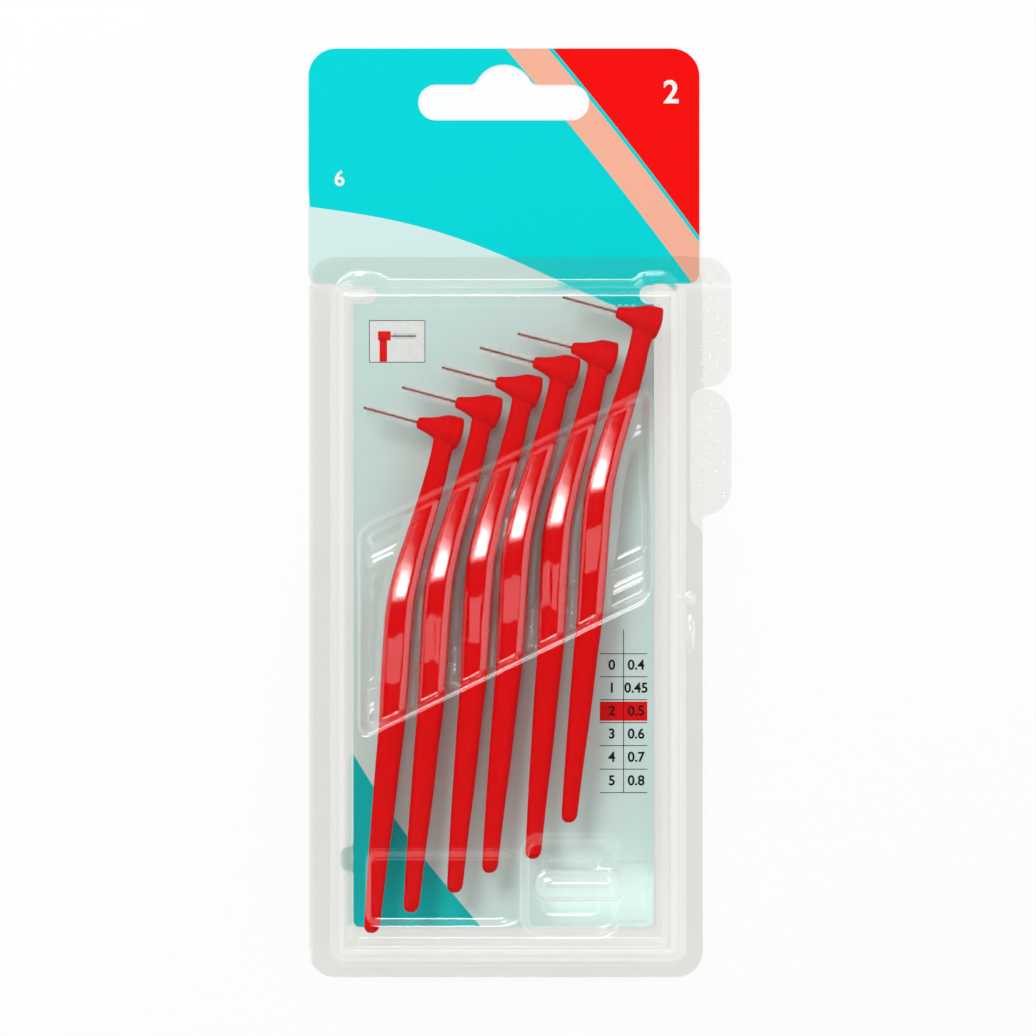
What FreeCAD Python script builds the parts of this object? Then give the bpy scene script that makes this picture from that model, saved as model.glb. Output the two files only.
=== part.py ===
import FreeCAD, Part
import math
import os

import Sketcher

# Hinged clear pack with a printed header card, six angled interdental brushes and one cap.
# The pack lies on its back: X across it, Y up towards the hanging slot, Z towards the viewer.
# The origin is the centre of the back face. Millimetres.

# Driving dimensions: name, value, what it measures
SIZES = [
    ("film", 0.35, "thickness of the formed film"),
    ("card_thick", 0.4, "thickness of the printed card"),
    ("fit_gap", 0.3, "play between the film and what it holds"),
    ("overrun", 1.0, "how far a cut runs past the piece that it cuts"),
    ("handle_long", 95.4, "wire entry to the tail end, straight down"),
    ("handle_lean", 8.47, "wire entry to the tail end, across"),
    ("grip_wide", 4.9, "widest part of the grip"),
    ("grip_thick", 4.7, "thickest part of the grip"),
    ("head_long", 8.8, "along the wire"),
    ("head_radius", 3.0, "rear disc of the head"),
    ("anchor_long", 4.0, "wire inside the head"),
    ("wire_out", 10.4, "wire outside the head"),
    ("wire_radius", 0.17, "steel core"),
    ("coat_thick", 0.08, "coating on the core"),
    ("bristle_reach", 1.2, "wire axis to a bristle tip"),
    ("bristle_radius", 0.05, "one filament"),
    ("bristle_pitch", 0.36, "along the wire"),
    ("bristle_bare", 0.5, "bare wire at each end of the bristles"),
    ("brush_pitch_x", 7.4, "from brush to brush across"),
    ("brush_pitch_y", 4.05, "from brush to brush up"),
    ("brush_lift", 4.25, "card up to the heads"),
    ("left_margin", 5.35, "side of the dome to the first wire's tip"),
    ("right_margin", 3.7, "last head to the side of the dome"),
    ("top_margin", 2.73, "last wire's tip up to the top of the dome"),
    ("foot_margin", 5.05, "first tail down to the foot of the dome"),
    ("head_room", 2.0, "heads up to the front of the dome"),
    ("dome_inset", 2.1, "draft of the dome walls"),
    ("dome_corner", 1.6, "corner of the dome in plan"),
    ("shoulder", 1.0, "sloping shoulder round the dome front"),
    ("ear_wide", 9.3, "bulge at each top corner of the dome"),
    ("ear_tall", 7.0, "bulge at each top corner of the dome"),
    ("ear_rise", 1.1, "how far a bulge stands past the dome"),
    ("ear_inset", 5.3, "side of the dome in to the centre of a bulge"),
    ("ear_corner", 3.2, "corner of a bulge in plan"),
    ("bed_margin", 5.6, "side of the dome to the bed that holds the grips"),
    ("bed_sink", 2.5, "brush axes down to the bed floor between the grips"),
    ("bar_tall", 8.6, "cross bar along each edge of the bed"),
    ("bar_rise", 0.6, "brush axes up to the top of a cross bar"),
    ("side_flange", 4.2, "flange on each side of the dome"),
    ("dome_drop", 4.9, "flange above the dome"),
    ("foot_flange", 3.4, "flange below the dome"),
    ("dome_shift", 0.45, "dome centre right of the case centre"),
    ("case_corner", 5.0, "outer corner of the flange"),
    ("joggle_drop", 5.4, "top of the flange down to the step where the card enters"),
    ("tab_out", 5.4, "finger tabs past the flange"),
    ("tab_tall", 24.7, "upper finger tab"),
    ("lower_tab_tall", 23.6, "lower finger tab"),
    ("tab_corner", 5.2, "outer corner of a finger tab"),
    ("tab_root", 9.0, "how far a tab plate reaches back over the flange"),
    ("relief_deep", 2.3, "front flange set back beside the lower tab"),
    ("hinge_inset", 5.2, "end of the flange to the end of the folded edge"),
    ("hinge_bead", 0.35, "outer radius of the folded edge"),
    ("hinge_gap", 0.05, "play between the folded edge and the front flange"),
    ("ring_wide", 2.9, "base of the rib that frames the card"),
    ("ring_high", 4.0, "height of the rib"),
    ("ring_corner", 1.4, "corner of the rib in plan"),
    ("hook_long", 7.1, "inward end of the rib that holds the card"),
    ("hook_wide", 2.9, "inward end of the rib"),
    ("pip_radius", 0.45, "snap pip"),
    ("pip_high", 0.6, "snap pip above the back sheet"),
    ("pip_gap", 0.12, "play between the two halves of a snap"),
    ("pip_pitch", 6.9, "between the two snap pips"),
    ("pip_inset", 2.3, "edge of the flange in to the pips"),
    ("header_rise", 39.1, "printed header above the case"),
    ("header_play", 0.6, "header narrower than the flange"),
    ("header_corner", 5.2, "top corners of the header"),
    ("header_foot_corner", 2.1, "bottom corners of the header"),
    ("card_margin", 4.55, "side of the dome to the side of the card"),
    ("card_foot", 6.0, "foot of the dome up to the foot of the card"),
    ("card_corner", 1.2, "bottom corners of the card"),
    ("card_shift", 0.35, "card centre left of the case centre"),
    ("slot_wide", 32.0, "hanging slot"),
    ("slot_tall", 6.7, "hanging slot"),
    ("slot_drop", 10.1, "top of the header down to the slot centre"),
    ("hump_radius", 5.6, "round top of the hanging slot"),
    ("hump_rise", 1.5, "centre of the round top above the slot centre"),
    ("cap_sink", 5.4, "front of the dome down to the cap's axis"),
    ("cap_radius", 3.1, "cap tube"),
    ("cap_wall", 0.5, "cap wall"),
    ("cap_tube_long", 15.8, "cap tube"),
    ("skirt_long", 5.6, "skirt that covers the head"),
    ("skirt_tall", 11.2, "skirt that covers the head"),
    ("skirt_drop", 1.3, "centre of the skirt below the cap axis"),
    ("skirt_thick", 7.4, "skirt, front to back"),
    ("skirt_corner", 1.2, "corner of the skirt"),
    ("neck_slot", 4.0, "slot in the skirt for the neck"),
    ("tray_wide", 16.6, "shallow tray over the cap"),
    ("tray_tall", 17.6, "shallow tray over the cap"),
    ("tray_corner", 2.6, "corner of the tray"),
    ("tray_deep", 2.7, "front of the dome down to the tray floor"),
    ("pinch_long", 8.6, "rib on each side of the cap tube"),
    ("pinch_wide", 0.5, "hollow of that rib"),
    ("pinch_reach", 1.0, "cap's axis down to the bottom of that rib's hollow"),
]

# Turn of the wire against the X axis, in degrees
WIRE_TURN = -15.3

# Turn from filament to filament, in degrees, so that they spread evenly round the wire
FILAMENT_TURN = 137.5

# Brush places: steps of the pitch across and up, and the turn in degrees
BRUSH_PLACE_SHARES = [
    (0.00, 0.00, 0.0),
    (0.97, 0.94, 0.1),
    (1.98, 1.87, 0.5),
    (2.93, 2.77, 0.2),
    (3.89, 3.44, 0.8),
    (5.02, 5.08, -0.2),
]

# The bed's height and how far its middle lies below the wires, as shares of the handle's length
BED_TALL_SHARE = 0.406
BED_DROP_SHARE = 0.381

# Slope of the bed, as a share of the slope from brush to brush
BED_SLOPE_SHARE = 0.89

# Closed end of the cap: steps of the pitch across from the first wire, and up from its tail
CAP_ACROSS_SHARE = 2.93
CAP_UP_SHARE = 2.25

# Handle sections. Shares of the handle's length down, of its lean across, of the grip's width
# and of the grip's thickness. The first sections are the flare under the head.
NECK_ROOT_SHARES = [
    (0.019, 0.666, 1.00, 0.72),
    (0.034, 0.630, 0.94, 0.72),
    (0.054, 0.556, 0.83, 0.72),
]

# From the neck's root to the tail
HANDLE_STATION_SHARES = [
    (0.054, 0.556, 0.83, 0.72),
    (0.113, 0.388, 0.85, 0.77),
    (0.191, 0.133, 0.92, 0.86),
    (0.269, -0.139, 0.97, 0.95),
    (0.347, -0.350, 1.00, 1.00),
    (0.426, -0.437, 1.00, 1.00),
    (0.505, -0.492, 0.99, 0.98),
    (0.583, -0.548, 0.97, 0.95),
    (0.681, -0.660, 0.93, 0.86),
    (0.780, -0.768, 0.85, 0.77),
    (0.880, -0.885, 0.73, 0.69),
    (0.984, -0.992, 0.61, 0.64),
]

# The sections that the grooves of the bed follow, from and to, as shares of the handle's length
GROOVE_SPAN_SHARES = (0.1, 0.7)

# Round tail end: shares of the way to the tip, and of the last section
TAIL_TIP_SHARES = [(0.0, 1.0), (0.42, 0.9), (0.72, 0.69), (0.92, 0.39), (1.0, 0.12)]

# Corner radius of a handle section, as a share of its thinner side
SECTION_CORNER_SHARE = 0.42

# Corner radius of a slot with round ends, as a share of its width
ROUND_END_SHARE = 0.49

# Corner radius at the foot of the dome's shoulder, as a share of the dome's corner
SHOULDER_CORNER_SHARE = 0.9

# Head outline from the wire entry to its back: shares of its length and of its radius
HEAD_OUTLINE_SHARES = [
    (0.00, 0.00),
    (0.00, 0.31),
    (0.05, 0.38),
    (0.25, 0.52),
    (0.40, 0.67),
    (0.52, 0.86),
    (0.61, 0.98),
    (0.66, 1.00),
    (0.90, 1.00),
    (0.95, 0.93),
    (0.98, 0.75),
    (1.00, 0.00),
]

FAILED_STATES = ("Invalid", "Error")

doc = FreeCAD.newDocument("angled_brush_pack")


def make_sheet():
    """Writes the driving dimensions into the sheet, one row each."""
    sheet = doc.addObject("Spreadsheet::Sheet", "sizes")
    for row, (word, value, meaning) in enumerate(SIZES, start=1):
        sheet.set(f"A{row}", word)
        sheet.set(f"B{row}", str(value))
        sheet.set(f"C{row}", meaning)
        sheet.setAlias(f"B{row}", word)
    doc.recompute()
    return sheet


sizes = make_sheet()


def value_of(expression):
    """The number that an expression in sheet names stands for."""
    return float(sizes.evalExpression(expression))


def bind(thing, **expressions):
    """Ties properties of an object to the sheet; an underscore stands for a full stop."""
    for name, expression in expressions.items():
        thing.setExpression(name.replace("_", "."), expression)
    return thing


def place(thing, x="0", y="0", z="0"):
    """Ties the place of an object to the sheet."""
    return bind(thing, Placement_Base_x=x, Placement_Base_y=y, Placement_Base_z=z)


def turn(thing, axis, degrees):
    """Turns an object about one of its own axes, in degrees."""
    thing.Placement.Rotation = FreeCAD.Rotation(axis, degrees)
    return thing


X_AXIS = FreeCAD.Vector(1, 0, 0)
Y_AXIS = FreeCAD.Vector(0, 1, 0)
Z_AXIS = FreeCAD.Vector(0, 0, 1)


def tie(sketch, kind, items, number, expression):
    """Adds one driving dimension to a sketch."""
    index = sketch.addConstraint(Sketcher.Constraint(kind, *items, number))
    sketch.setExpression(f"Constraints[{index}]", expression)


def rounded_sketch(name, wide, tall, corner):
    """A rectangle with four round corners, centred on the sketch's origin."""
    sketch = doc.addObject("Sketcher::SketchObject", name)
    a = value_of(wide) / 2
    b = value_of(tall) / 2
    r = value_of(corner)
    corners = [(a - r, r - b), (a - r, b - r), (r - a, b - r), (r - a, r - b)]
    ends = [
        ((r - a, -b), (a - r, -b)),
        ((a, r - b), (a, b - r)),
        ((a - r, b), (r - a, b)),
        ((-a, b - r), (-a, r - b)),
    ]
    for start, end in ends:
        sketch.addGeometry(Part.LineSegment(FreeCAD.Vector(*start, 0), FreeCAD.Vector(*end, 0)))
    quarter = math.pi / 2
    for step, centre in enumerate(corners):
        circle = Part.Circle(FreeCAD.Vector(*centre, 0), Z_AXIS, r)
        sketch.addGeometry(Part.ArcOfCircle(circle, (step - 1) * quarter, step * quarter))
    for side in range(4):
        sketch.addConstraint(Sketcher.Constraint("Tangent", side, 2, 4 + side, 1))
        sketch.addConstraint(Sketcher.Constraint("Tangent", 4 + side, 2, (side + 1) % 4, 1))
    for side in (0, 2):
        sketch.addConstraint(Sketcher.Constraint("Horizontal", side))
    for side in (1, 3):
        sketch.addConstraint(Sketcher.Constraint("Vertical", side))
    for arc in (5, 6, 7):
        sketch.addConstraint(Sketcher.Constraint("Equal", 4, arc))
    sketch.addConstraint(Sketcher.Constraint("Symmetric", 0, 1, 2, 1, -1, 1))
    tie(sketch, "DistanceX", (3, 1, 1, 1), 2 * a, wide)
    tie(sketch, "DistanceY", (0, 1, 2, 1), 2 * b, tall)
    tie(sketch, "Radius", (4,), r, corner)
    return sketch


def outline_sketch(name, points):
    """A closed outline of straight lines through points given as pairs of expressions."""
    sketch = doc.addObject("Sketcher::SketchObject", name)
    numbers = [FreeCAD.Vector(value_of(x), value_of(y), 0) for x, y in points]
    count = len(points)
    for step in range(count):
        sketch.addGeometry(Part.LineSegment(numbers[step], numbers[(step + 1) % count]))
    for step in range(count):
        sketch.addConstraint(Sketcher.Constraint("Coincident", step, 2, (step + 1) % count, 1))
    for step, (x, y) in enumerate(points):
        tie(sketch, "DistanceX", (-1, 1, step, 1), numbers[step].x, x)
        tie(sketch, "DistanceY", (-1, 1, step, 1), numbers[step].y, y)
    return sketch


def raised(name, sketch, low, high):
    """A plate or prism on a sketch, from one level to another."""
    bind(sketch, Placement_Base_z=low)
    solid = doc.addObject("Part::Extrusion", name)
    solid.Base = sketch
    solid.DirMode = "Normal"
    solid.Solid = True
    return bind(solid, LengthFwd=f"({high}) - ({low})")


def plate(name, x, y, wide, tall, corner, low, high):
    """A plate with round corners."""
    sketch = place(rounded_sketch(f"{name}_outline", wide, tall, corner), x, y)
    return raised(name, sketch, low, high)


def drafted_block(name, x, y, wide, tall, corner, low, high, inset):
    """A block with round corners whose walls lean in by the inset from bottom to top."""
    foot = place(rounded_sketch(f"{name}_foot", wide, tall, corner), x, y, low)
    narrow = f"({wide}) - 2 * ({inset})"
    short = f"({tall}) - 2 * ({inset})"
    head_corner = f"({corner}) * min(({narrow}) / ({wide}); ({short}) / ({tall}))"
    head = place(rounded_sketch(f"{name}_head", narrow, short, head_corner), x, y, high)
    block = doc.addObject("Part::Loft", name)
    block.Sections = [foot, head]
    block.Solid = True
    block.Ruled = True
    return block


def box(name, x, y, z, length, width, height):
    """A box from its lowest corner."""
    solid = place(doc.addObject("Part::Box", name), x, y, z)
    return bind(solid, Length=length, Width=width, Height=height)


def cylinder(name, x, y, z, radius, height, axis=None, degrees=0.0):
    """A cylinder from the centre of its end, standing up unless it is turned."""
    solid = place(doc.addObject("Part::Cylinder", name), x, y, z)
    if axis is not None:
        turn(solid, axis, degrees)
    return bind(solid, Radius=radius, Height=height)


def joined(name, shapes):
    """Several solids made one."""
    result = doc.addObject("Part::MultiFuse", name)
    result.Shapes = shapes
    return result


def cut_away(name, base, tool):
    """A solid with another taken away from it."""
    result = doc.addObject("Part::Cut", name)
    result.Base = base
    result.Tool = tool
    return result


def shared(name, first, second):
    """What two solids have in common."""
    result = doc.addObject("Part::Common", name)
    result.Base = first
    result.Tool = second
    return result


# The case follows the brushes that it holds: levels, sides and middles of its pieces
CARD_TOP = "(sizes.film + sizes.card_thick)"
BRUSH_LEVEL = f"({CARD_TOP} + sizes.brush_lift + sizes.head_radius)"
DOME_DEEP = f"({BRUSH_LEVEL} + sizes.head_radius + sizes.head_room)"
BED_FLOOR = f"({BRUSH_LEVEL} - sizes.bed_sink)"
BAR_LEVEL = f"({BRUSH_LEVEL} + sizes.bar_rise)"
TRAY_LEVEL = f"({DOME_DEEP} - sizes.tray_deep)"
CAP_LEVEL = f"({DOME_DEEP} - sizes.cap_sink)"
PINCH_LEVEL = f"({CAP_LEVEL} - sizes.pinch_reach)"

LAST_ACROSS, LAST_UP, _ = BRUSH_PLACE_SHARES[-1]
BRUSHES_WIDE = f"(sizes.wire_out + {LAST_ACROSS} * sizes.brush_pitch_x + sizes.head_long)"
BRUSHES_TALL = f"(sizes.handle_long + {LAST_UP} * sizes.brush_pitch_y - sizes.wire_out * sin({WIRE_TURN}))"
DOME_WIDE = f"(sizes.left_margin + {BRUSHES_WIDE} + sizes.right_margin)"
DOME_TALL = f"(sizes.top_margin + {BRUSHES_TALL} + sizes.foot_margin)"
CASE_WIDE = f"({DOME_WIDE} + 2 * sizes.side_flange)"
CASE_TALL = f"(sizes.dome_drop + {DOME_TALL} + sizes.foot_flange)"
OVERALL_WIDE = f"({CASE_WIDE} + sizes.tab_out)"
OVERALL_TALL = f"({CASE_TALL} + sizes.header_rise)"

CASE_X = "(-sizes.tab_out / 2)"
CASE_Y = "(-sizes.header_rise / 2)"
CASE_TOP = f"({CASE_TALL} / 2 - sizes.header_rise / 2)"
CASE_LEFT = f"(-{OVERALL_WIDE} / 2)"
TAB_RIGHT = f"({OVERALL_WIDE} / 2)"
CASE_RIGHT = f"({TAB_RIGHT} - sizes.tab_out)"
JOGGLE_Y = f"({CASE_TOP} - sizes.joggle_drop)"
TAB_SPLIT = f"({CASE_TOP} - sizes.tab_tall)"
PIP_X = f"({CASE_RIGHT} - sizes.pip_inset)"

DOME_X = f"({CASE_X} + sizes.dome_shift)"
DOME_TOP = f"({CASE_TOP} - sizes.dome_drop)"
DOME_Y = f"({DOME_TOP} - {DOME_TALL} / 2)"
DOME_BOTTOM = f"({DOME_TOP} - {DOME_TALL})"
RING_INSET = f"(sizes.dome_inset * sizes.ring_high / {DOME_DEEP})"
RING_EDGE = "(sizes.film + sizes.fit_gap)"

HINGE_X = f"({CASE_LEFT} + sizes.hinge_bead)"
HINGE_LONG = f"({CASE_TALL} - 2 * sizes.hinge_inset)"
HINGE_BOTTOM = f"({CASE_TOP} - sizes.hinge_inset - {HINGE_LONG})"

HEADER_WIDE = f"({CASE_WIDE} - sizes.header_play)"
HEADER_TALL = "(sizes.header_rise + sizes.dome_drop)"
CARD_X = f"({CASE_X} - sizes.card_shift)"
CARD_WIDE = f"({DOME_WIDE} - 2 * sizes.card_margin)"
CARD_TALL = f"({DOME_TALL} - sizes.card_foot)"

BRUSH_X = f"({DOME_X} - {DOME_WIDE} / 2 + sizes.left_margin + sizes.wire_out)"
BRUSH_Y = f"({DOME_BOTTOM} + sizes.foot_margin + sizes.handle_long)"
BED_WIDE = f"({DOME_WIDE} - 2 * sizes.bed_margin)"
BED_TALL = f"({BED_TALL_SHARE} * sizes.handle_long)"
BED_SLOPE = f"({BED_SLOPE_SHARE} * sizes.brush_pitch_y / sizes.brush_pitch_x)"
BED_CENTRE_Y = (
    f"({BRUSH_Y} + {LAST_UP / 2} * sizes.brush_pitch_y - {BED_DROP_SHARE} * sizes.handle_long)"
)
CAP_X = f"({BRUSH_X} + {CAP_ACROSS_SHARE} * sizes.brush_pitch_x)"
CAP_Y = f"({BRUSH_Y} - sizes.handle_long + {CAP_UP_SHARE} * sizes.brush_pitch_y)"
TRAY_X = f"({CAP_X} + sizes.cap_tube_long - sizes.fit_gap - sizes.film - sizes.tray_wide / 2)"
PINCH_OUT = "(sizes.cap_radius + sizes.fit_gap + sizes.film + sizes.pinch_wide / 2)"
COAT_RADIUS = "(sizes.wire_radius + sizes.coat_thick)"
CORE_TIP = "(sizes.coat_thick - sizes.wire_out)"


def sheet_plate(name, low, high):
    """The flange of one sheet, without its tab."""
    return plate(name, CASE_X, CASE_Y, CASE_WIDE, CASE_TALL, "sizes.case_corner", low, high)


def tab_plate(name, top, tall, low, high):
    """A finger tab with its root over the flange."""
    wide = f"({TAB_RIGHT} - {CASE_RIGHT} + sizes.tab_root)"
    x = f"({TAB_RIGHT} - {wide} / 2)"
    return plate(name, x, f"({top} - ({tall}) / 2)", wide, tall, "sizes.tab_corner", low, high)


def hinge_bead(name, extra, reach):
    """The round edge that the two sheets fold about, grown by a gap where it is a cutter."""
    return cylinder(
        name, HINGE_X, f"({HINGE_BOTTOM} - {reach})", "sizes.film",
        f"sizes.hinge_bead + {extra}", f"{HINGE_LONG} + 2 * {reach}", X_AXIS, -90.0,
    )


def ring_blocks(name, grow, low, high):
    """The rib that frames the card: two legs, a foot and two inward ends, grown sideways."""
    outer_left = f"({DOME_X} - {DOME_WIDE} / 2 + {RING_EDGE})"
    outer_right = f"({DOME_X} + {DOME_WIDE} / 2 - {RING_EDGE})"
    outer_foot = f"({DOME_BOTTOM} + {RING_EDGE})"
    outer_top = f"({DOME_TOP} - {RING_EDGE})"
    tall = f"({outer_top} - {outer_foot})"
    span = f"({outer_right} - {outer_left})"
    leg_wide = f"sizes.ring_wide + 2 * ({grow})"
    leg_tall = f"{tall} + 2 * ({grow})"
    corner = f"sizes.ring_corner + ({grow})"
    hook_y = f"({outer_top} - sizes.hook_wide / 2)"
    parts = []
    for side, leg_x, hook_x in (
        ("left", f"({outer_left} + sizes.ring_wide / 2)", f"({outer_left} + sizes.hook_long / 2)"),
        ("right", f"({outer_right} - sizes.ring_wide / 2)", f"({outer_right} - sizes.hook_long / 2)"),
    ):
        parts.append(drafted_block(
            f"{name}_{side}_leg", leg_x, f"({outer_foot} + {tall} / 2)",
            leg_wide, leg_tall, corner, low, high, RING_INSET,
        ))
        parts.append(drafted_block(
            f"{name}_{side}_hook", hook_x, hook_y, f"sizes.hook_long + 2 * ({grow})",
            f"sizes.hook_wide + 2 * ({grow})", corner, low, high, RING_INSET,
        ))
    parts.append(drafted_block(
        f"{name}_foot", f"({outer_left} + {span} / 2)", f"({outer_foot} + sizes.ring_wide / 2)",
        f"{span} + 2 * ({grow})", leg_wide, corner, low, high, RING_INSET,
    ))
    return joined(name, parts)


def make_back_shell():
    """The back sheet: flat panel, lower tab, card rib and the standing half of the snaps."""
    panel = sheet_plate("back_panel", "0", "sizes.film")
    tab = tab_plate("back_tab", TAB_SPLIT, "sizes.lower_tab_tall", "0", "sizes.film")
    rib = ring_blocks("rib_outside", "0", "0", "sizes.ring_high")
    solids = [panel, tab, rib]
    for step in (-1, 1):
        solids.append(cylinder(
            f"back_pip_{(step + 3) // 2}", PIP_X, f"({CASE_Y} + {step} * sizes.pip_pitch / 2)", "0",
            "sizes.pip_radius", "sizes.film + sizes.pip_high",
        ))
    body = joined("back_sheet", solids)
    hollow = ring_blocks("rib_inside", "-sizes.film", "-sizes.film", "sizes.ring_high - sizes.film")
    formed = cut_away("back_formed", body, hollow)
    shell = cut_away("back_shell", formed, hinge_bead("back_fold_cut", "0", "sizes.overrun"))
    shell.Label = "back_shell"
    return shell


def make_hinge_fold():
    """The folded edge between the sheets."""
    fold = hinge_bead("hinge_fold", "0", "0")
    fold.Label = "hinge_fold"
    return fold


def dome_blocks(name, grow, top):
    """The dome in two drafted steps with a bulge at each top corner, grown sideways."""
    side = f"2 * ({grow})"
    wide = f"{DOME_WIDE} + {side}"
    tall = f"{DOME_TALL} + {side}"
    corner = f"sizes.dome_corner + ({grow})"
    knee = f"({top} - sizes.shoulder)"
    parts = [drafted_block(
        f"{name}_wall", DOME_X, DOME_Y, wide, tall, corner, "sizes.film", knee, "sizes.dome_inset",
    )]
    inset = "2 * sizes.dome_inset"
    parts.append(drafted_block(
        f"{name}_front", DOME_X, DOME_Y, f"{wide} - {inset}", f"{tall} - {inset}",
        f"({corner}) * {SHOULDER_CORNER_SHARE}", knee, top, "sizes.shoulder",
    ))
    ear_y = f"({DOME_TOP} + sizes.ear_rise - sizes.ear_tall / 2)"
    for side_name, sign in (("left", "-1"), ("right", "1")):
        ear_x = f"({DOME_X} + {sign} * ({DOME_WIDE} / 2 - sizes.ear_inset))"
        parts.append(drafted_block(
            f"{name}_{side_name}_ear", ear_x, ear_y, f"sizes.ear_wide + {side}", f"sizes.ear_tall + {side}",
            f"sizes.ear_corner + ({grow})", "sizes.film", knee, "sizes.dome_inset",
        ))
    return joined(name, parts)


def slanted_prism(name, middle, tall, grow, low, high):
    """A prism on a parallelogram that follows the slope of the bed, grown on all sides."""
    half = f"({BED_WIDE} / 2 + ({grow}))"
    lift = f"({half} * {BED_SLOPE})"
    half_tall = f"(({tall}) / 2 + ({grow}) * hypot(1; {BED_SLOPE}))"
    sketch = outline_sketch(f"{name}_outline", [
        (f"-{half}", f"-{half_tall} - {lift}"),
        (half, f"-{half_tall} + {lift}"),
        (half, f"{half_tall} + {lift}"),
        (f"-{half}", f"{half_tall} - {lift}"),
    ])
    place(sketch, CASE_X, f"({BED_CENTRE_Y} + ({middle}))")
    return raised(name, sketch, low, high)


def brush_place(thing, index):
    """Puts a piece that is drawn round the wire entry at its brush's place in the pack."""
    across, up, degrees = BRUSH_PLACE_SHARES[index]
    turn(thing, Z_AXIS, degrees)
    x = f"{BRUSH_X} + {across} * sizes.brush_pitch_x"
    y = f"{BRUSH_Y} + {up} * sizes.brush_pitch_y"
    return place(thing, x, y, BRUSH_LEVEL)


def groove_prism(name, index, gap, low, high):
    """The room round one grip: the handle's outline in plan, grown by a gap."""
    start, end = GROOVE_SPAN_SHARES
    left = []
    right = []
    for down, across, wide, _ in HANDLE_STATION_SHARES:
        if not start < down < end:
            continue
        y = f"-{down} * sizes.handle_long"
        middle = f"{across} * sizes.handle_lean"
        half = f"({wide} * sizes.grip_wide / 2 + {gap})"
        left.append((f"{middle} - {half}", y))
        right.append((f"{middle} + {half}", y))
    sketch = outline_sketch(f"{name}_outline", left + right[::-1])
    brush_place(sketch, index)
    return raised(name, sketch, low, high)


def dome_side(name, film):
    """One side of the dome film as a solid; film is how far it stands back from the outer face."""
    top = f"({DOME_DEEP} - {film})"
    grip_top = f"({BRUSH_LEVEL} + sizes.grip_thick / 2 + sizes.fit_gap)"
    skin = f"(sizes.film - {film})"
    body = dome_blocks(f"{name}_body", f"-{film}", top)
    high = f"({DOME_DEEP} + sizes.overrun)"
    pockets = [
        slanted_prism(f"{name}_bed", "0", BED_TALL, film, f"({BED_FLOOR} - {film})", high),
        plate(
            f"{name}_tray", TRAY_X, CAP_Y, f"sizes.tray_wide + 2 * {film}",
            f"sizes.tray_tall + 2 * {film}", f"sizes.tray_corner + {film}",
            f"({TRAY_LEVEL} - {film})", high,
        ),
    ]
    for step in (-1, 1):
        pockets.append(box(
            f"{name}_pinch_{(step + 3) // 2}",
            f"({TRAY_X} - sizes.pinch_long / 2 - {film})",
            f"({CAP_Y} + {step} * {PINCH_OUT} - sizes.pinch_wide / 2 - {film})",
            f"({PINCH_LEVEL} - {film})",
            f"sizes.pinch_long + 2 * {film}", f"sizes.pinch_wide + 2 * {film}",
            f"{high} - ({PINCH_LEVEL} - {film})",
        ))
    sunk = cut_away(f"{name}_sunk", body, joined(f"{name}_pockets", pockets))
    raised_parts = [sunk]
    bar_step = f"(({BED_TALL} - sizes.bar_tall) / 2)"
    foot = f"({BED_FLOOR} / 2)"
    for index, middle in enumerate((f"-{bar_step}", bar_step), start=1):
        raised_parts.append(slanted_prism(
            f"{name}_bar_{index}", middle, "sizes.bar_tall", f"-{film}", foot, f"({BAR_LEVEL} - {film})",
        ))
    for index in range(len(BRUSH_PLACE_SHARES)):
        raised_parts.append(groove_prism(
            f"{name}_groove_{index + 1}", index, f"(sizes.fit_gap + {skin})", foot, f"({grip_top} + {skin})",
        ))
    raised_parts.append(cylinder(
        f"{name}_arch", f"({CAP_X} - sizes.fit_gap - {skin})", CAP_Y, CAP_LEVEL,
        f"sizes.cap_radius + sizes.fit_gap + {skin}",
        f"sizes.cap_tube_long + sizes.fit_gap + {skin}", Y_AXIS, 90.0,
    ))
    return joined(f"{name}_side", raised_parts)


def front_flange():
    """The front sheet's flange: low beside the dome, stepped up over the card at the top."""
    low = sheet_plate("front_low", "sizes.film", "2 * sizes.film")
    below = box(
        "below_joggle", f"({CASE_LEFT} - sizes.overrun)", f"({CASE_TOP} - {CASE_TALL} - sizes.overrun)",
        "0", f"{OVERALL_WIDE} + 2 * sizes.overrun",
        f"{CASE_TALL} - sizes.joggle_drop + sizes.overrun", DOME_DEEP,
    )
    low_part = shared("front_low_part", low, below)
    tab = tab_plate("front_tab", CASE_TOP, "sizes.tab_tall", CARD_TOP, f"({CARD_TOP} + sizes.film)")
    high = sheet_plate("front_high", CARD_TOP, f"({CARD_TOP} + sizes.film)")
    above = box(
        "above_joggle", f"({CASE_LEFT} - sizes.overrun)", JOGGLE_Y, "0",
        f"{OVERALL_WIDE} + 2 * sizes.overrun", "sizes.joggle_drop + sizes.overrun", DOME_DEEP,
    )
    high_part = shared("front_high_part", joined("front_high_sheet", [high, tab]), above)
    low_tab = shared("front_tab_part", tab_plate(
        "front_low_tab", CASE_TOP, "sizes.tab_tall", "sizes.film", "2 * sizes.film"), below)
    riser = shared("front_riser", joined("riser_sheet", [
        sheet_plate("riser_plate", "sizes.film", f"({CARD_TOP} + sizes.film)"),
        tab_plate("riser_tab", CASE_TOP, "sizes.tab_tall", "sizes.film", f"({CARD_TOP} + sizes.film)"),
    ]), box(
        "riser_band", f"({CASE_LEFT} - sizes.overrun)", f"({JOGGLE_Y} - sizes.film)", "0",
        f"{OVERALL_WIDE} + 2 * sizes.overrun", "sizes.film", DOME_DEEP,
    ))
    return joined("front_flange", [low_part, high_part, low_tab, riser])


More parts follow.
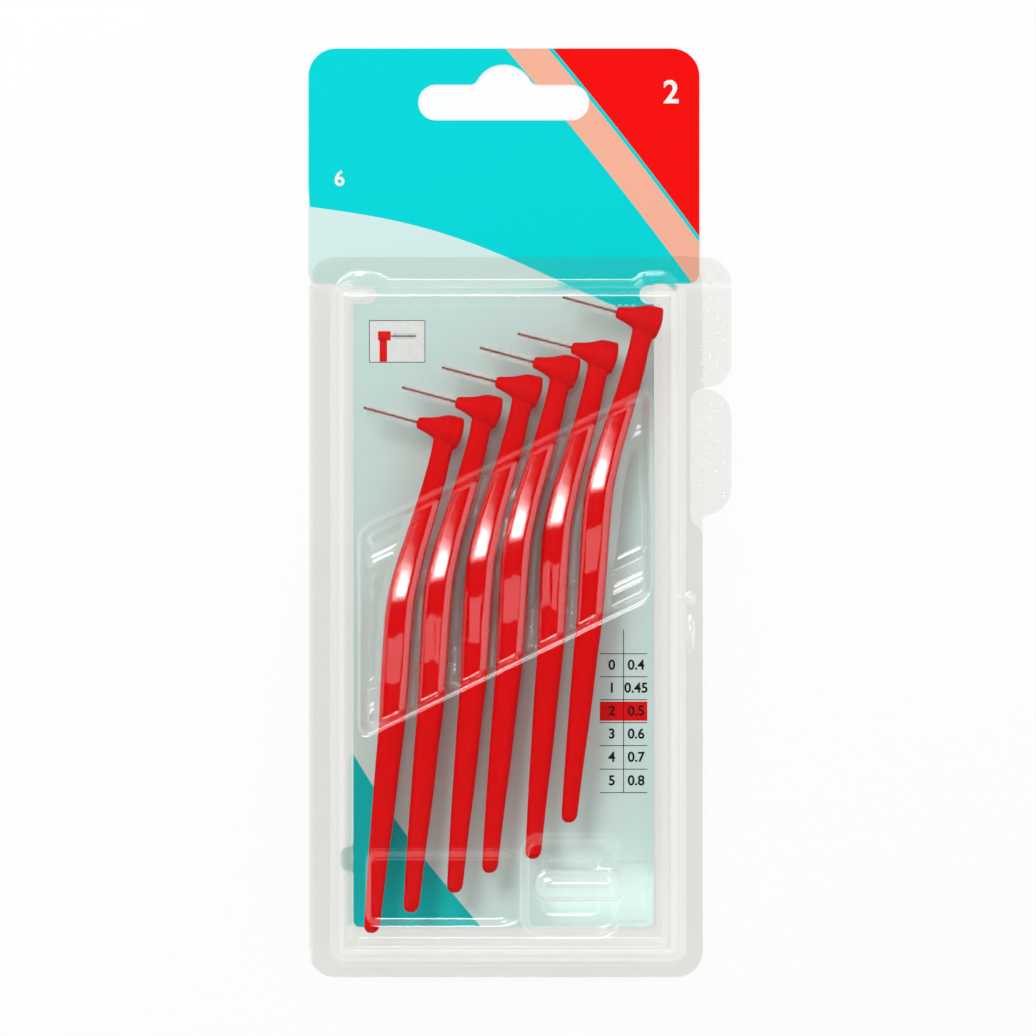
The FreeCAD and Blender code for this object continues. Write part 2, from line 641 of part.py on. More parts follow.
def make_front_shell():
    """The front sheet: flange, upper tab, dome, bed, tray and the hollow half of the snaps."""
    solids = [front_flange(), dome_side("outside", "0")]
    cutters = [dome_side("inside", "sizes.film")]
    cutters.append(dome_mouth())
    cutters.append(hinge_bead("front_fold_cut", "sizes.hinge_gap", "sizes.overrun"))
    cutters.append(box(
        "fold_strip", f"({CASE_LEFT} - sizes.overrun)",
        f"({CASE_TOP} - {CASE_TALL} - sizes.overrun)", "0",
        "sizes.overrun + 2 * sizes.hinge_bead + sizes.hinge_gap",
        f"{CASE_TALL} + 2 * sizes.overrun", DOME_DEEP,
    ))
    cutters.append(plate(
        "relief", f"({CASE_RIGHT} + sizes.tab_root / 2 - sizes.relief_deep)",
        f"({TAB_SPLIT} - sizes.lower_tab_tall / 2 - sizes.relief_deep / 2)", "sizes.tab_root",
        "sizes.lower_tab_tall + sizes.relief_deep", "sizes.relief_deep", "0", DOME_DEEP,
    ))
    for step in (-1, 1):
        y = f"({CASE_Y} + {step} * sizes.pip_pitch / 2)"
        number = (step + 3) // 2
        solids.append(cylinder(
            f"front_pip_{number}", PIP_X, y, "sizes.film",
            "sizes.pip_radius + sizes.pip_gap + sizes.film", "sizes.pip_high + sizes.pip_gap + sizes.film",
        ))
        cutters.append(cylinder(
            f"pip_socket_{number}", PIP_X, y, "0",
            "sizes.pip_radius + sizes.pip_gap", "sizes.film + sizes.pip_high + sizes.pip_gap",
        ))
    shell = cut_away("front_shell", joined("front_sheet", solids), joined("front_hollow", cutters))
    shell.Label = "front_shell"
    return shell


def dome_mouth():
    """The way in for the card under the top wall of the dome."""
    return box(
        "card_way", f"({CARD_X} - {HEADER_WIDE} / 2 - sizes.fit_gap)", JOGGLE_Y, "0",
        f"{HEADER_WIDE} + 2 * sizes.fit_gap", "sizes.joggle_drop + sizes.overrun", CARD_TOP,
    )


def make_header_card():
    """The printed card: header with its hanging slot, and the part inside the case."""
    header_y = f"({OVERALL_TALL} / 2 - {HEADER_TALL} / 2)"
    header_x = f"({HEADER_WIDE} / 2 - {OVERALL_WIDE} / 2)"
    header = plate(
        "card_header", header_x, header_y, HEADER_WIDE, HEADER_TALL,
        "sizes.header_corner", "sizes.film", CARD_TOP,
    )
    half = f"({HEADER_TALL} / 2)"
    header_foot = plate(
        "card_header_foot", header_x, f"({DOME_TOP} + {half} / 2)", HEADER_WIDE, half,
        "sizes.header_foot_corner", "sizes.film", CARD_TOP,
    )
    tall = f"({CARD_TALL} + {half})"
    inner = plate(
        "card_inner", CARD_X, f"({DOME_TOP} - {CARD_TALL} + {tall} / 2)", CARD_WIDE, tall,
        "sizes.card_corner", "sizes.film", CARD_TOP,
    )
    slot_y = f"({OVERALL_TALL} / 2 - sizes.slot_drop)"
    slot = plate(
        "hanging_slot", CARD_X, slot_y, "sizes.slot_wide", "sizes.slot_tall",
        f"{ROUND_END_SHARE} * sizes.slot_tall", "0", "sizes.overrun",
    )
    round_top = cylinder(
        "slot_round_top", CARD_X, f"({slot_y} + sizes.hump_rise)", "0", "sizes.hump_radius", "sizes.overrun",
    )
    upper_side = box(
        "slot_upper_side", f"({CARD_X} - sizes.hump_radius)", slot_y, "0",
        "2 * sizes.hump_radius", "sizes.hump_rise + sizes.hump_radius", "sizes.overrun",
    )
    cutters = [slot, shared("slot_hump", round_top, upper_side)]
    notch_top = f"({DOME_TOP} - {RING_EDGE} + sizes.fit_gap)"
    notch_tall = "(sizes.hook_wide + 2 * sizes.fit_gap)"
    reach = f"(sizes.hook_long + {RING_EDGE} + sizes.fit_gap)"
    for side, sign in (("left", "-1"), ("right", "1")):
        edge = f"({DOME_X} + {sign} * {DOME_WIDE} / 2)"
        cutters.append(plate(
            f"{side}_notch", f"({edge} - {sign} * {reach} / 2)", f"({notch_top} - {notch_tall} / 2)",
            reach, notch_tall, f"{ROUND_END_SHARE} * {notch_tall}", "0", "sizes.overrun",
        ))
    sheet = joined("card_sheet", [header, header_foot, inner])
    card = cut_away("header_card", sheet, joined("card_cutters", cutters))
    card.Label = "header_card"
    return card


def handle_section(name, down, across, wide, thick):
    """One section of the handle, square to the pack's Y axis."""
    wide_text = f"{wide} * sizes.grip_wide"
    thick_text = f"{thick} * sizes.grip_thick"
    corner = f"{SECTION_CORNER_SHARE} * min({wide_text}; {thick_text})"
    sketch = rounded_sketch(name, wide_text, thick_text, corner)
    turn(sketch, X_AXIS, 90.0)
    return place(sketch, f"{across} * sizes.handle_lean", f"-{down} * sizes.handle_long")


def lofted(name, sections):
    """A smooth solid through sections."""
    solid = doc.addObject("Part::Loft", name)
    solid.Sections = sections
    solid.Solid = True
    return solid


def make_handle_form():
    """The handle of one brush, drawn round the point where the wire enters its head."""
    root_sections = []
    for index, shares in enumerate(NECK_ROOT_SHARES, start=1):
        root_sections.append(handle_section(f"root_section_{index}", *shares))
    root = lofted("neck_root", root_sections)
    sections = []
    for index, shares in enumerate(HANDLE_STATION_SHARES, start=1):
        sections.append(handle_section(f"handle_section_{index}", *shares))
    stem = lofted("handle_stem", sections)
    down, across, wide, thick = HANDLE_STATION_SHARES[-1]
    tip_sections = []
    for index, (along, size) in enumerate(TAIL_TIP_SHARES, start=1):
        tip_down = down + along * (1.0 - down)
        tip_across = across - along * (1.0 + across)
        tip_sections.append(handle_section(
            f"tail_section_{index}", tip_down, tip_across, wide * size, thick * size,
        ))
    tail = lofted("handle_tail", tip_sections)
    outline = outline_sketch("head_outline", [
        (f"{along} * sizes.head_long", f"{out} * sizes.head_radius") for along, out in HEAD_OUTLINE_SHARES
    ])
    head = doc.addObject("Part::Revolution", "handle_head")
    head.Source = outline
    head.Axis = X_AXIS
    head.Angle = 360.0
    head.Solid = True
    turn(head, Z_AXIS, WIRE_TURN)
    bore = wire_rod("wire_bore", COAT_RADIUS, "-sizes.overrun", "sizes.anchor_long")
    return cut_away("handle_form", joined("handle_blank", [root, stem, tail, head]), bore)


def wire_rod(name, radius, start, end):
    """A rod on the wire's axis, from one distance to another, measured into the head."""
    solid = doc.addObject("Part::Cylinder", name)
    solid.Placement.Rotation = FreeCAD.Rotation(Z_AXIS, WIRE_TURN) * FreeCAD.Rotation(Y_AXIS, 90.0)
    place(
        solid, f"({start}) * cos({WIRE_TURN})", f"({start}) * sin({WIRE_TURN})",
    )
    return bind(solid, Radius=radius, Height=f"({end}) - ({start})")


def make_core_form():
    """The steel core of one wire."""
    return wire_rod("core_form", "sizes.wire_radius", CORE_TIP, "sizes.anchor_long")


def make_coat_form():
    """The coating of one wire, closed over the core's tip."""
    skin = wire_rod("coat_skin", COAT_RADIUS, "-sizes.wire_out", "sizes.anchor_long")
    hollow = wire_rod("coat_hollow", "sizes.wire_radius", CORE_TIP, "sizes.anchor_long + sizes.overrun")
    return cut_away("coat_form", skin, hollow)


def make_bristle_form():
    """The filaments of one wire, each right across it and turned on from the last."""
    zone = value_of("sizes.wire_out - 2 * sizes.bristle_bare")
    count = int(zone / value_of("sizes.bristle_pitch")) + 1
    along_wire = FreeCAD.Rotation(Z_AXIS, WIRE_TURN)
    filaments = []
    for index in range(count):
        filament = doc.addObject("Part::Cylinder", f"filament_{index + 1}")
        spin = FreeCAD.Rotation(X_AXIS, index * FILAMENT_TURN)
        filament.Placement.Rotation = along_wire * spin
        along = f"(-sizes.bristle_bare - {index} * sizes.bristle_pitch)"
        lean = filament.Placement.Rotation.multVec(Z_AXIS)
        place(
            filament,
            f"{along} * cos({WIRE_TURN}) - ({lean.x:.6f}) * sizes.bristle_reach",
            f"{along} * sin({WIRE_TURN}) - ({lean.y:.6f}) * sizes.bristle_reach",
            f"-({lean.z:.6f}) * sizes.bristle_reach",
        )
        bind(filament, Radius="sizes.bristle_radius", Height="2 * sizes.bristle_reach")
        filaments.append(filament)
    group = doc.addObject("Part::Compound", "bristle_form")
    group.Links = filaments
    return group


def make_brushes():
    """Six brushes from the same forms, each piece a node of its own."""
    forms = [
        ("handle", make_handle_form()),
        ("wire_core", make_core_form()),
        ("wire_coat", make_coat_form()),
        ("bristles", make_bristle_form()),
    ]
    nodes = []
    for index in range(len(BRUSH_PLACE_SHARES)):
        for word, form in forms:
            node = doc.addObject("Part::Compound", f"{word}_{index + 1}")
            node.Links = [form]
            brush_place(node, index)
            node.Label = f"{word}_{index + 1}"
            nodes.append(node)
    return nodes


def nosed_tube(name, radius, length):
    """A rod on the cap's axis with a ball for its closed end, as two solids."""
    start = f"{CAP_X} + sizes.cap_radius"
    rod = cylinder(f"{name}_rod", start, CAP_Y, CAP_LEVEL, radius, length, Y_AXIS, 90.0)
    nose = place(doc.addObject("Part::Sphere", f"{name}_nose"), start, CAP_Y, CAP_LEVEL)
    return [rod, bind(nose, Radius=radius)]


def make_protective_cap():
    """The cap: a tube with a round closed end, and a skirt that is open at its end and slotted."""
    tube_end = f"({CAP_X} + sizes.cap_tube_long)"
    skirt_y = f"({CAP_Y} - sizes.skirt_drop)"
    skirt_foot = f"({skirt_y} - sizes.skirt_tall / 2)"
    tube = nosed_tube("cap", "sizes.cap_radius", "sizes.cap_tube_long - sizes.cap_radius")
    sketch = rounded_sketch("skirt_outline", "sizes.skirt_thick", "sizes.skirt_tall", "sizes.skirt_corner")
    turn(sketch, Y_AXIS, 90.0)
    place(sketch, tube_end, skirt_y, CAP_LEVEL)
    skirt = doc.addObject("Part::Extrusion", "cap_skirt")
    skirt.Base = sketch
    skirt.DirMode = "Normal"
    skirt.Solid = True
    bind(skirt, LengthFwd="sizes.skirt_long")
    bore = nosed_tube("cap_bore", "sizes.cap_radius - sizes.cap_wall", "sizes.cap_tube_long")
    room_x = f"({tube_end} + sizes.cap_wall)"
    past_end = "sizes.skirt_long + sizes.overrun"
    room = box(
        "skirt_room", room_x, f"({skirt_foot} + sizes.cap_wall)",
        f"({CAP_LEVEL} - sizes.skirt_thick / 2 + sizes.cap_wall)", past_end,
        "sizes.skirt_tall - 2 * sizes.cap_wall", "sizes.skirt_thick - 2 * sizes.cap_wall",
    )
    neck_way = box(
        "neck_way", room_x, f"({skirt_foot} - sizes.overrun)", f"({CAP_LEVEL} - sizes.neck_slot / 2)",
        past_end, "sizes.overrun + 2 * sizes.cap_wall", "sizes.neck_slot",
    )
    blank = joined("cap_blank", tube + [skirt])
    cap = cut_away("protective_cap", blank, joined("cap_hollow", bore + [room, neck_way]))
    cap.Label = "protective_cap"
    return cap


def check_document():
    """Stops if any object of the document failed."""
    for thing in doc.Objects:
        failed = [state for state in thing.State if state in FAILED_STATES]
        if failed:
            raise RuntimeError(f"{thing.Name} is {failed}")


def check_node(node):
    """Stops if a finished piece has no sound shape."""
    if node.Shape.isNull() or not node.Shape.isValid() or node.Shape.Volume <= 0.0:
        raise RuntimeError(f"{node.Label} has no sound solid")


def main():
    """Builds every piece, checks it and writes its file."""
    nodes = [make_back_shell(), make_front_shell(), make_hinge_fold(), make_header_card()]
    nodes.append(make_protective_cap())
    nodes += make_brushes()
    doc.recompute()
    check_document()
    os.makedirs("parts", exist_ok=True)
    for node in nodes:
        check_node(node)
        node.Shape.exportStep(f"parts/{node.Label}.step")
        box_of = node.Shape.BoundBox
        print(
            f"{node.Label}: {len(node.Shape.Solids)} solids, {node.Shape.Volume:.2f} mm3, "
            f"{box_of.XLength:.2f} x {box_of.YLength:.2f} x {box_of.ZLength:.2f} mm"
        )


main()
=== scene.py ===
"""Looks of the hinged brush pack: six angled interdental brushes, a cap and a printed card.

Every length is in millimetres until a mesh is made, where it is turned to metres.
"""

import logging
import math
from collections.abc import Callable
from dataclasses import dataclass, field
from enum import Enum

import bmesh
import bpy
import numpy as np
from mathutils import Euler, Matrix, Vector


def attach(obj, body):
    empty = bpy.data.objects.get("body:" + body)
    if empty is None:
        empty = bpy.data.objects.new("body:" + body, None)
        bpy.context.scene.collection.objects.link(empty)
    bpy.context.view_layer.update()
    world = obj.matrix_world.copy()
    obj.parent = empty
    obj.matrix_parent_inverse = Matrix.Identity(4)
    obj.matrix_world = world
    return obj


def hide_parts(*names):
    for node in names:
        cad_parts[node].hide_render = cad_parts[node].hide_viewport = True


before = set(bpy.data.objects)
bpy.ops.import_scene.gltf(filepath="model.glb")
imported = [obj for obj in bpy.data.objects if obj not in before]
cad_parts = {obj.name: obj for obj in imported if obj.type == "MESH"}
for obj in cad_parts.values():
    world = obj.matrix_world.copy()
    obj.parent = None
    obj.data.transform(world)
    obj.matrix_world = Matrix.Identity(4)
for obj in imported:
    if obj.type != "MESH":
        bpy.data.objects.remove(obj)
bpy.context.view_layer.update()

MM = 0.001
LOG = logging.getLogger("pack")


# Helpers


def linear(code: str) -> tuple[float, float, float, float]:
    """Turns an sRGB hex code into a linear colour.

    Args:
        code: six hex digits.
    Returns:
        Red, green, blue and alpha.
    """
    parts = [int(code[i:i + 2], 16) / 255 for i in (0, 2, 4)]
    return (*(p / 12.92 if p <= 0.04045 else ((p + 0.055) / 1.055) ** 2.4 for p in parts), 1.0)


def add_node(
    tree: bpy.types.NodeTree, kind: str, settings: dict | None = None, inputs: dict | None = None
) -> bpy.types.Node:
    """Adds a node, with its settings and what goes into it.

    Args:
        tree: the node tree.
        kind: the node's type name.
        settings: properties of the node by name.
        inputs: values or output sockets by the name or number of the input.
    Returns:
        The new node.
    """
    node = tree.nodes.new(kind)
    for name, value in (settings or {}).items():
        setattr(node, name, value)
    for name, value in (inputs or {}).items():
        socket = node.inputs[name]
        if isinstance(value, bpy.types.NodeSocket):
            tree.links.new(value, socket)
        else:
            socket.default_value = value
    return node


def place_new(name: str, data: bpy.types.ID) -> bpy.types.Object:
    """Makes an object from its data and links it to the scene.

    Args:
        name: its name.
        data: its data.
    Returns:
        The object.
    """
    thing = bpy.data.objects.new(name, data)
    bpy.context.scene.collection.objects.link(thing)
    return thing


def make_object(name: str, verts: np.ndarray, faces: list, material: bpy.types.Material) -> bpy.types.Object:
    """Makes a mesh object from points in millimetres.

    Args:
        name: the piece's name.
        verts: points, one row each.
        faces: corner numbers of each face.
        material: its finish.
    Returns:
        The object, linked to the scene.
    """
    mesh = bpy.data.meshes.new(name)
    mesh.from_pydata((np.asarray(verts, float) * MM).tolist(), [], faces)
    mesh.materials.append(material)
    mesh.update()
    return place_new(name, mesh)


def edit_mesh(thing: bpy.types.Object, *steps: Callable[[bmesh.types.BMesh], object]) -> None:
    """Takes an object's mesh through the steps, in order.

    Args:
        thing: the object.
        steps: what is done to the mesh.
    """
    shape = bmesh.new()
    shape.from_mesh(thing.data)
    for step in steps:
        step(shape)
    shape.to_mesh(thing.data)
    shape.free()


def drop_strays(shape: bmesh.types.BMesh) -> None:
    """Drops loose points and merges those that fell together at an outline."""
    bmesh.ops.delete(shape, geom=[v for v in shape.verts if not v.link_faces], context="VERTS")
    bmesh.ops.dissolve_degenerate(shape, edges=shape.edges[:], dist=0.02 * MM)


def face_out(shape: bmesh.types.BMesh) -> None:
    """Points every face of closed shapes outwards."""
    bmesh.ops.recalc_face_normals(shape, faces=shape.faces[:])


def shade_smooth(thing: bpy.types.Object, angle: float) -> None:
    """Shades an object smooth, with edges sharper than the angle in degrees left hard."""
    thing.data.shade_smooth()
    thing.data.set_sharp_from_angle(angle=math.radians(angle))


def bake_modifiers(thing: bpy.types.Object) -> bpy.types.Object:
    """Turns an object's modifiers into plain mesh and removes them.

    Args:
        thing: the object.
    Returns:
        The same object.
    """
    graph = bpy.context.evaluated_depsgraph_get()
    mesh = bpy.data.meshes.new_from_object(thing.evaluated_get(graph))
    thing.modifiers.clear()
    old = thing.data
    thing.data = mesh
    bpy.data.meshes.remove(old)
    mesh.name = thing.name
    return thing


def thicken(thing: bpy.types.Object, thickness: float) -> bpy.types.Object:
    """Gives a sheet its thickness in millimetres, below its face.

    Args:
        thing: the object.
        thickness: how thick it gets.
    Returns:
        The same object.
    """
    solid = thing.modifiers.new("thickness", "SOLIDIFY")
    solid.thickness = thickness * MM
    solid.offset = -1.0
    return bake_modifiers(thing)


def seat(thing: bpy.types.Object, body: str, slot: str, *nodes: str) -> bpy.types.Object:
    """Puts a finished piece on its body, in place of the nodes that it stands for.

    Args:
        thing: the piece.
        body: the body that it rides on.
        slot: the record's material slot; not used.
        nodes: the nodes that it replaces.
    Returns:
        The piece.
    """
    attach(thing, body)
    if nodes:
        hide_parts(*nodes)
    LOG.info("%s rides on %s: %d faces", thing.name, body, len(thing.data.polygons))
    return thing


# Finishes


def mottle(
    tree: bpy.types.NodeTree, place: bpy.types.NodeSocket, size: float, detail: float, low: float,
    high: float,
) -> tuple[bpy.types.NodeSocket, bpy.types.NodeSocket]:
    """Adds clouds and a value that follows them.

    Args:
        tree: the material's tree.
        place: the place on the piece.
        size: the clouds' size in millimetres.
        detail: how many finer layers they have.
        low: the value where they are thin.
        high: the value where they are thick.
    Returns:
        The clouds and the value.
    """
    clouds = add_node(tree, "ShaderNodeTexNoise", inputs={
        "Vector": place, "Scale": 1 / (size * MM), "Detail": detail,
    })
    value = add_node(tree, "ShaderNodeMapRange", inputs={
        0: clouds.outputs["Fac"], 1: 0.3, 2: 0.7, 3: low, 4: high,
    })
    return clouds.outputs["Fac"], value.outputs[0]


def rim_share(
    tree: bpy.types.NodeTree, power: float, rise: float, base: float | bpy.types.NodeSocket
) -> bpy.types.NodeSocket:
    """Adds a share that grows from where a surface faces the eye to its rim.

    Args:
        tree: the material's tree.
        power: how late it grows.
        rise: how much it grows.
        base: what it starts from.
    Returns:
        The share.
    """
    turned = add_node(tree, "ShaderNodeLayerWeight", inputs={"Blend": 0.5})
    steep = add_node(tree, "ShaderNodeMath", {"operation": "POWER"}, {0: turned.outputs["Facing"], 1: power})
    share = add_node(tree, "ShaderNodeMath", {"operation": "MULTIPLY_ADD", "use_clamp": True}, {
        0: steep.outputs[0], 1: rise, 2: base,
    })
    return share.outputs[0]


def seen_ways(tree: bpy.types.NodeTree, path: bpy.types.Node) -> bpy.types.NodeSocket:
    """Adds a value that is one for the eye, straight or through film or in gloss, and nought for the rest.

    Args:
        tree: the tree.
        path: the node that tells the kinds of ray.
    Returns:
        The value.
    """
    seen = path.outputs["Is Camera Ray"]
    for way in ("Is Transmission Ray", "Is Glossy Ray"):
        both = add_node(tree, "ShaderNodeMath", {"operation": "MAXIMUM"}, {0: seen, 1: path.outputs[way]})
        seen = both.outputs[0]
    return seen


@dataclass(frozen=True)
class Finish:
    """What every finish shares: a name, and a tree that ends in its surface."""

    name: str

    def shade(self, tree: bpy.types.NodeTree, place: bpy.types.NodeSocket) -> bpy.types.Node:
        """Adds the finish's own nodes.

        Args:
            tree: the material's tree.
            place: the place on the piece.
        Returns:
            The last shader node.
        """
        raise NotImplementedError

    def build(self) -> bpy.types.Material:
        """Builds the material and returns it.

        Returns:
            The material.
        """
        material = bpy.data.materials.new(self.name)
        material.use_nodes = True
        tree = material.node_tree
        tree.nodes.clear()
        place = add_node(tree, "ShaderNodeTexCoord").outputs["Object"]
        add_node(tree, "ShaderNodeOutputMaterial", inputs={"Surface": self.shade(tree, place).outputs[0]})
        return material


@dataclass(frozen=True)
class ClearSheet(Finish):
    """Thermoformed PET sheet: glossy both sides and nearly clear, so its bends show as fine bright lines."""

    name: str = "thermoformed_pet_sheet"
    clear: str = "FCFCFB"
    straight_gloss: float = 0.04
    rough: float = 0.085
    wave: float = 0.03
    wave_size: float = 12.0

    def shade(self, tree: bpy.types.NodeTree, place: bpy.types.NodeSocket) -> bpy.types.Node:
        """Mixes a straight view through it with its gloss. An IOR of 1 bends nothing, as the film is thin.

        Args:
            tree: the material's tree.
            place: the place on the piece.
        Returns:
            The last shader node.
        """
        waves = add_node(tree, "ShaderNodeTexNoise", inputs={
            "Vector": place, "Scale": 1 / (self.wave_size * MM), "Detail": 1.0,
        })
        bump = add_node(tree, "ShaderNodeBump", inputs={
            "Height": waves.outputs["Fac"], "Strength": 1.0, "Distance": self.wave * MM,
        })
        gloss = add_node(tree, "ShaderNodeBsdfAnisotropic", {"distribution": "GGX"}, {
            "Color": linear("FFFFFF"), "Roughness": self.rough, "Normal": bump.outputs["Normal"],
        })
        through = add_node(tree, "ShaderNodeBsdfRefraction", inputs={
            "Color": linear(self.clear), "Roughness": 0.0, "IOR": 1.0,
        })
        seen = add_node(tree, "ShaderNodeMixShader", inputs={
            0: rim_share(tree, 5.0, 1.0 - self.straight_gloss, self.straight_gloss),
            1: through.outputs[0], 2: gloss.outputs[0],
        })
        # light falls straight through the film onto what lies in it
        path = add_node(tree, "ShaderNodeLightPath")
        passing = add_node(tree, "ShaderNodeMath", {"operation": "MAXIMUM"}, {
            0: path.outputs["Is Shadow Ray"], 1: path.outputs["Is Diffuse Ray"],
        })
        straight = add_node(tree, "ShaderNodeBsdfTransparent", inputs={"Color": linear(self.clear)})
        return add_node(tree, "ShaderNodeMixShader", inputs={
            0: passing.outputs[0], 1: seen.outputs[0], 2: straight.outputs[0],
        })


@dataclass(frozen=True)
class MilkyClear(Finish):
    """Clear moulded polypropylene: a little milky, and whiter where its wall is seen edge on."""

    name: str = "natural_polypropylene"
    milk: str = "E2EEED"
    body: float = 0.035
    rim: float = 0.6
    cloud_size: float = 2.0

    def shade(self, tree: bpy.types.NodeTree, place: bpy.types.NodeSocket) -> bpy.types.Node:
        """Mixes a straight view through it with its milk.

        Args:
            tree: the material's tree.
            place: the place on the piece.
        Returns:
            The last shader node.
        """
        _, level = mottle(tree, place, self.cloud_size, 2.0, self.body * 0.8, self.body * 1.2)
        see = add_node(tree, "ShaderNodeBsdfRefraction", inputs={
            "Color": linear("FEFEFE"), "Roughness": 0.0, "IOR": 1.0,
        })
        milk = add_node(tree, "ShaderNodeBsdfPrincipled", inputs={
            "Base Color": linear(self.milk), "Roughness": 0.2, "IOR": 1.49,
        })
        return add_node(tree, "ShaderNodeMixShader", inputs={
            0: rim_share(tree, 2.5, self.rim, level), 1: see.outputs[0], 2: milk.outputs[0],
        })


@dataclass(frozen=True)
class MouldedPlastic(Finish):
    """Injection moulded polypropylene: even colour, soft gloss, the mould's fine grain."""

    name: str = "moulded_polypropylene"
    colour: str = "EE0006"
    shade_colour: str = "E60005"
    rough: float = 0.55
    grain: float = 0.006
    grain_size: float = 0.25
    cloud_size: float = 6.0

    def shade(self, tree: bpy.types.NodeTree, place: bpy.types.NodeSocket) -> bpy.types.Node:
        """Clouds the colour and the gloss a little, over a fine grain.

        Args:
            tree: the material's tree.
            place: the place on the piece.
        Returns:
            The last shader node.
        """
        clouds, rough = mottle(tree, place, self.cloud_size, 3.0, self.rough - 0.04, self.rough + 0.04)
        colour = add_node(tree, "ShaderNodeMix", {"data_type": "RGBA"}, {
            0: clouds, 6: linear(self.colour), 7: linear(self.shade_colour),
        })
        grain = add_node(tree, "ShaderNodeTexNoise", inputs={
            "Vector": place, "Scale": 1 / (self.grain_size * MM), "Detail": 2.0,
        })
        bump = add_node(tree, "ShaderNodeBump", inputs={
            "Height": grain.outputs["Fac"], "Strength": 1.0, "Distance": self.grain * MM,
        })
        return add_node(tree, "ShaderNodeBsdfPrincipled", inputs={
            "Base Color": colour.outputs[2], "Roughness": rough, "Normal": bump.outputs["Normal"],
            "IOR": 1.49, "Specular IOR Level": 0.02, "Subsurface Weight": 0.08, "Subsurface Scale": 0.6 * MM,
            "Subsurface Radius": (1.0, 0.1, 0.1),
        })


class Ink(Enum):
    """The board's bare ground and its inks, as sRGB colours."""

    GROUND = "D6F0ED"
    TEAL = "00DADC"
    DEEP_TEAL = "00C6C7"
    WARM = "F9B69C"
    BRIGHT = "FA0A0A"


@dataclass(frozen=True)
class InkWave:
    """One wavy band of ink: its ink, middle, half width, swing and lean, in millimetres."""

    ink: Ink
    middle: float
    half: float
    length: float
    height: float
    start: float = 0.0
    lean: float = 0.0
    widen: float = 0.0


@dataclass(frozen=True)
class PrintedBoard(Finish):
    """Offset printed paperboard: flat inks under a thin varnish, with the board's fibres."""

    name: str = "offset_printed_board"
    fibre_size: float = 0.5
    waves: tuple[InkWave, ...] = (
        InkWave(Ink.TEAL, 79.5, 34.0, 95.0, 2.5, 2.6, -0.3),
        InkWave(Ink.WARM, 87.5, 4.7, 120.0, 2.5, 0.4, -1.3),
        InkWave(Ink.BRIGHT, 110.8, 17.5, 120.0, 2.5, 0.4, -1.3),
        InkWave(Ink.DEEP_TEAL, -123.5, 34.0, 60.0, 3.0, 1.1, -1.5),
        InkWave(Ink.GROUND, -64.8, -468.0, 60.0, 0.0, widen=-15.0),
    )

    def shade(self, tree: bpy.types.NodeTree, place: bpy.types.NodeSocket) -> bpy.types.Node:
        """Prints the waves of ink across the header and the foot, over the fibres.

        Args:
            tree: the material's tree.
            place: the place on the piece.
        Returns:
            The last shader node.
        """
        axes = add_node(tree, "ShaderNodeSeparateXYZ", inputs={0: place})
        colour = None
        for wave in self.waves:
            colour = self.band(tree, axes, colour, wave)
        fibres, worn = mottle(tree, place, self.fibre_size, 4.0, 0.97, 1.0)
        tinted = add_node(tree, "ShaderNodeVectorMath", {"operation": "SCALE"}, {0: colour, "Scale": worn})
        bump = add_node(tree, "ShaderNodeBump", inputs={
            "Height": fibres, "Strength": 0.4, "Distance": 0.01 * MM,
        })
        return add_node(tree, "ShaderNodeBsdfPrincipled", inputs={
            "Base Color": tinted.outputs[0], "Roughness": 0.6, "Normal": bump.outputs["Normal"],
            "Specular IOR Level": 0.05,
        })

    def band(
        self, tree: bpy.types.NodeTree, axes: bpy.types.Node, under: bpy.types.NodeSocket | None,
        wave: InkWave,
    ) -> bpy.types.NodeSocket:
        """Prints one wavy band of ink over what lies under it.

        Args:
            tree: the material's tree.
            axes: the node that gives the place on the board.
            under: the colour so far, or None for the bare ground.
            wave: the band.
        Returns:
            The colour with the band.
        """
        value = axes.outputs["X"]
        lines = []
        for slope, base in (
            (2 * math.pi / (wave.length * MM), wave.start), (wave.lean, wave.middle * MM),
            (wave.widen, wave.half * MM),
        ):
            line = add_node(tree, "ShaderNodeMath", {"operation": "MULTIPLY_ADD"}, {
                0: value, 1: slope, 2: base,
            })
            lines.append(line.outputs[0])
        turn, lean, taper = lines
        swing = add_node(tree, "ShaderNodeMath", {"operation": "SINE"}, {0: turn})
        middle = add_node(tree, "ShaderNodeMath", {"operation": "MULTIPLY_ADD"}, {
            0: swing.outputs[0], 1: wave.height * MM, 2: lean,
        })
        away = add_node(tree, "ShaderNodeMath", {"operation": "SUBTRACT"}, {
            0: axes.outputs["Y"], 1: middle.outputs[0],
        })
        off = add_node(tree, "ShaderNodeMath", {"operation": "ABSOLUTE"}, {0: away.outputs[0]})
        inside = add_node(tree, "ShaderNodeMath", {"operation": "LESS_THAN"}, {0: off.outputs[0], 1: taper})
        mix = add_node(tree, "ShaderNodeMix", {"data_type": "RGBA"}, {
            0: inside.outputs[0], 6: under or linear(Ink.GROUND.value), 7: linear(wave.ink.value),
        })
        return mix.outputs[2]


@dataclass(frozen=True)
class PlainInk(Finish):
    """Flat printing ink on the board: matt, with the board's fibres in it."""

    name: str
    colour: str
    fibre_size: float = 0.5

    def shade(self, tree: bpy.types.NodeTree, place: bpy.types.NodeSocket) -> bpy.types.Node:
        """Lets the fibres darken the ink a little.

        Args:
            tree: the material's tree.
            place: the place on the piece.
        Returns:
            The last shader node.
        """
        _, worn = mottle(tree, place, self.fibre_size, 3.0, 0.9, 1.0)
        colour = add_node(tree, "ShaderNodeVectorMath", {"operation": "SCALE"}, {
            0: linear(self.colour)[:3], "Scale": worn,
        })
        return add_node(tree, "ShaderNodeBsdfPrincipled", inputs={
            "Base Color": colour.outputs[0], "Roughness": 0.6, "Specular IOR Level": 0.05,
        })


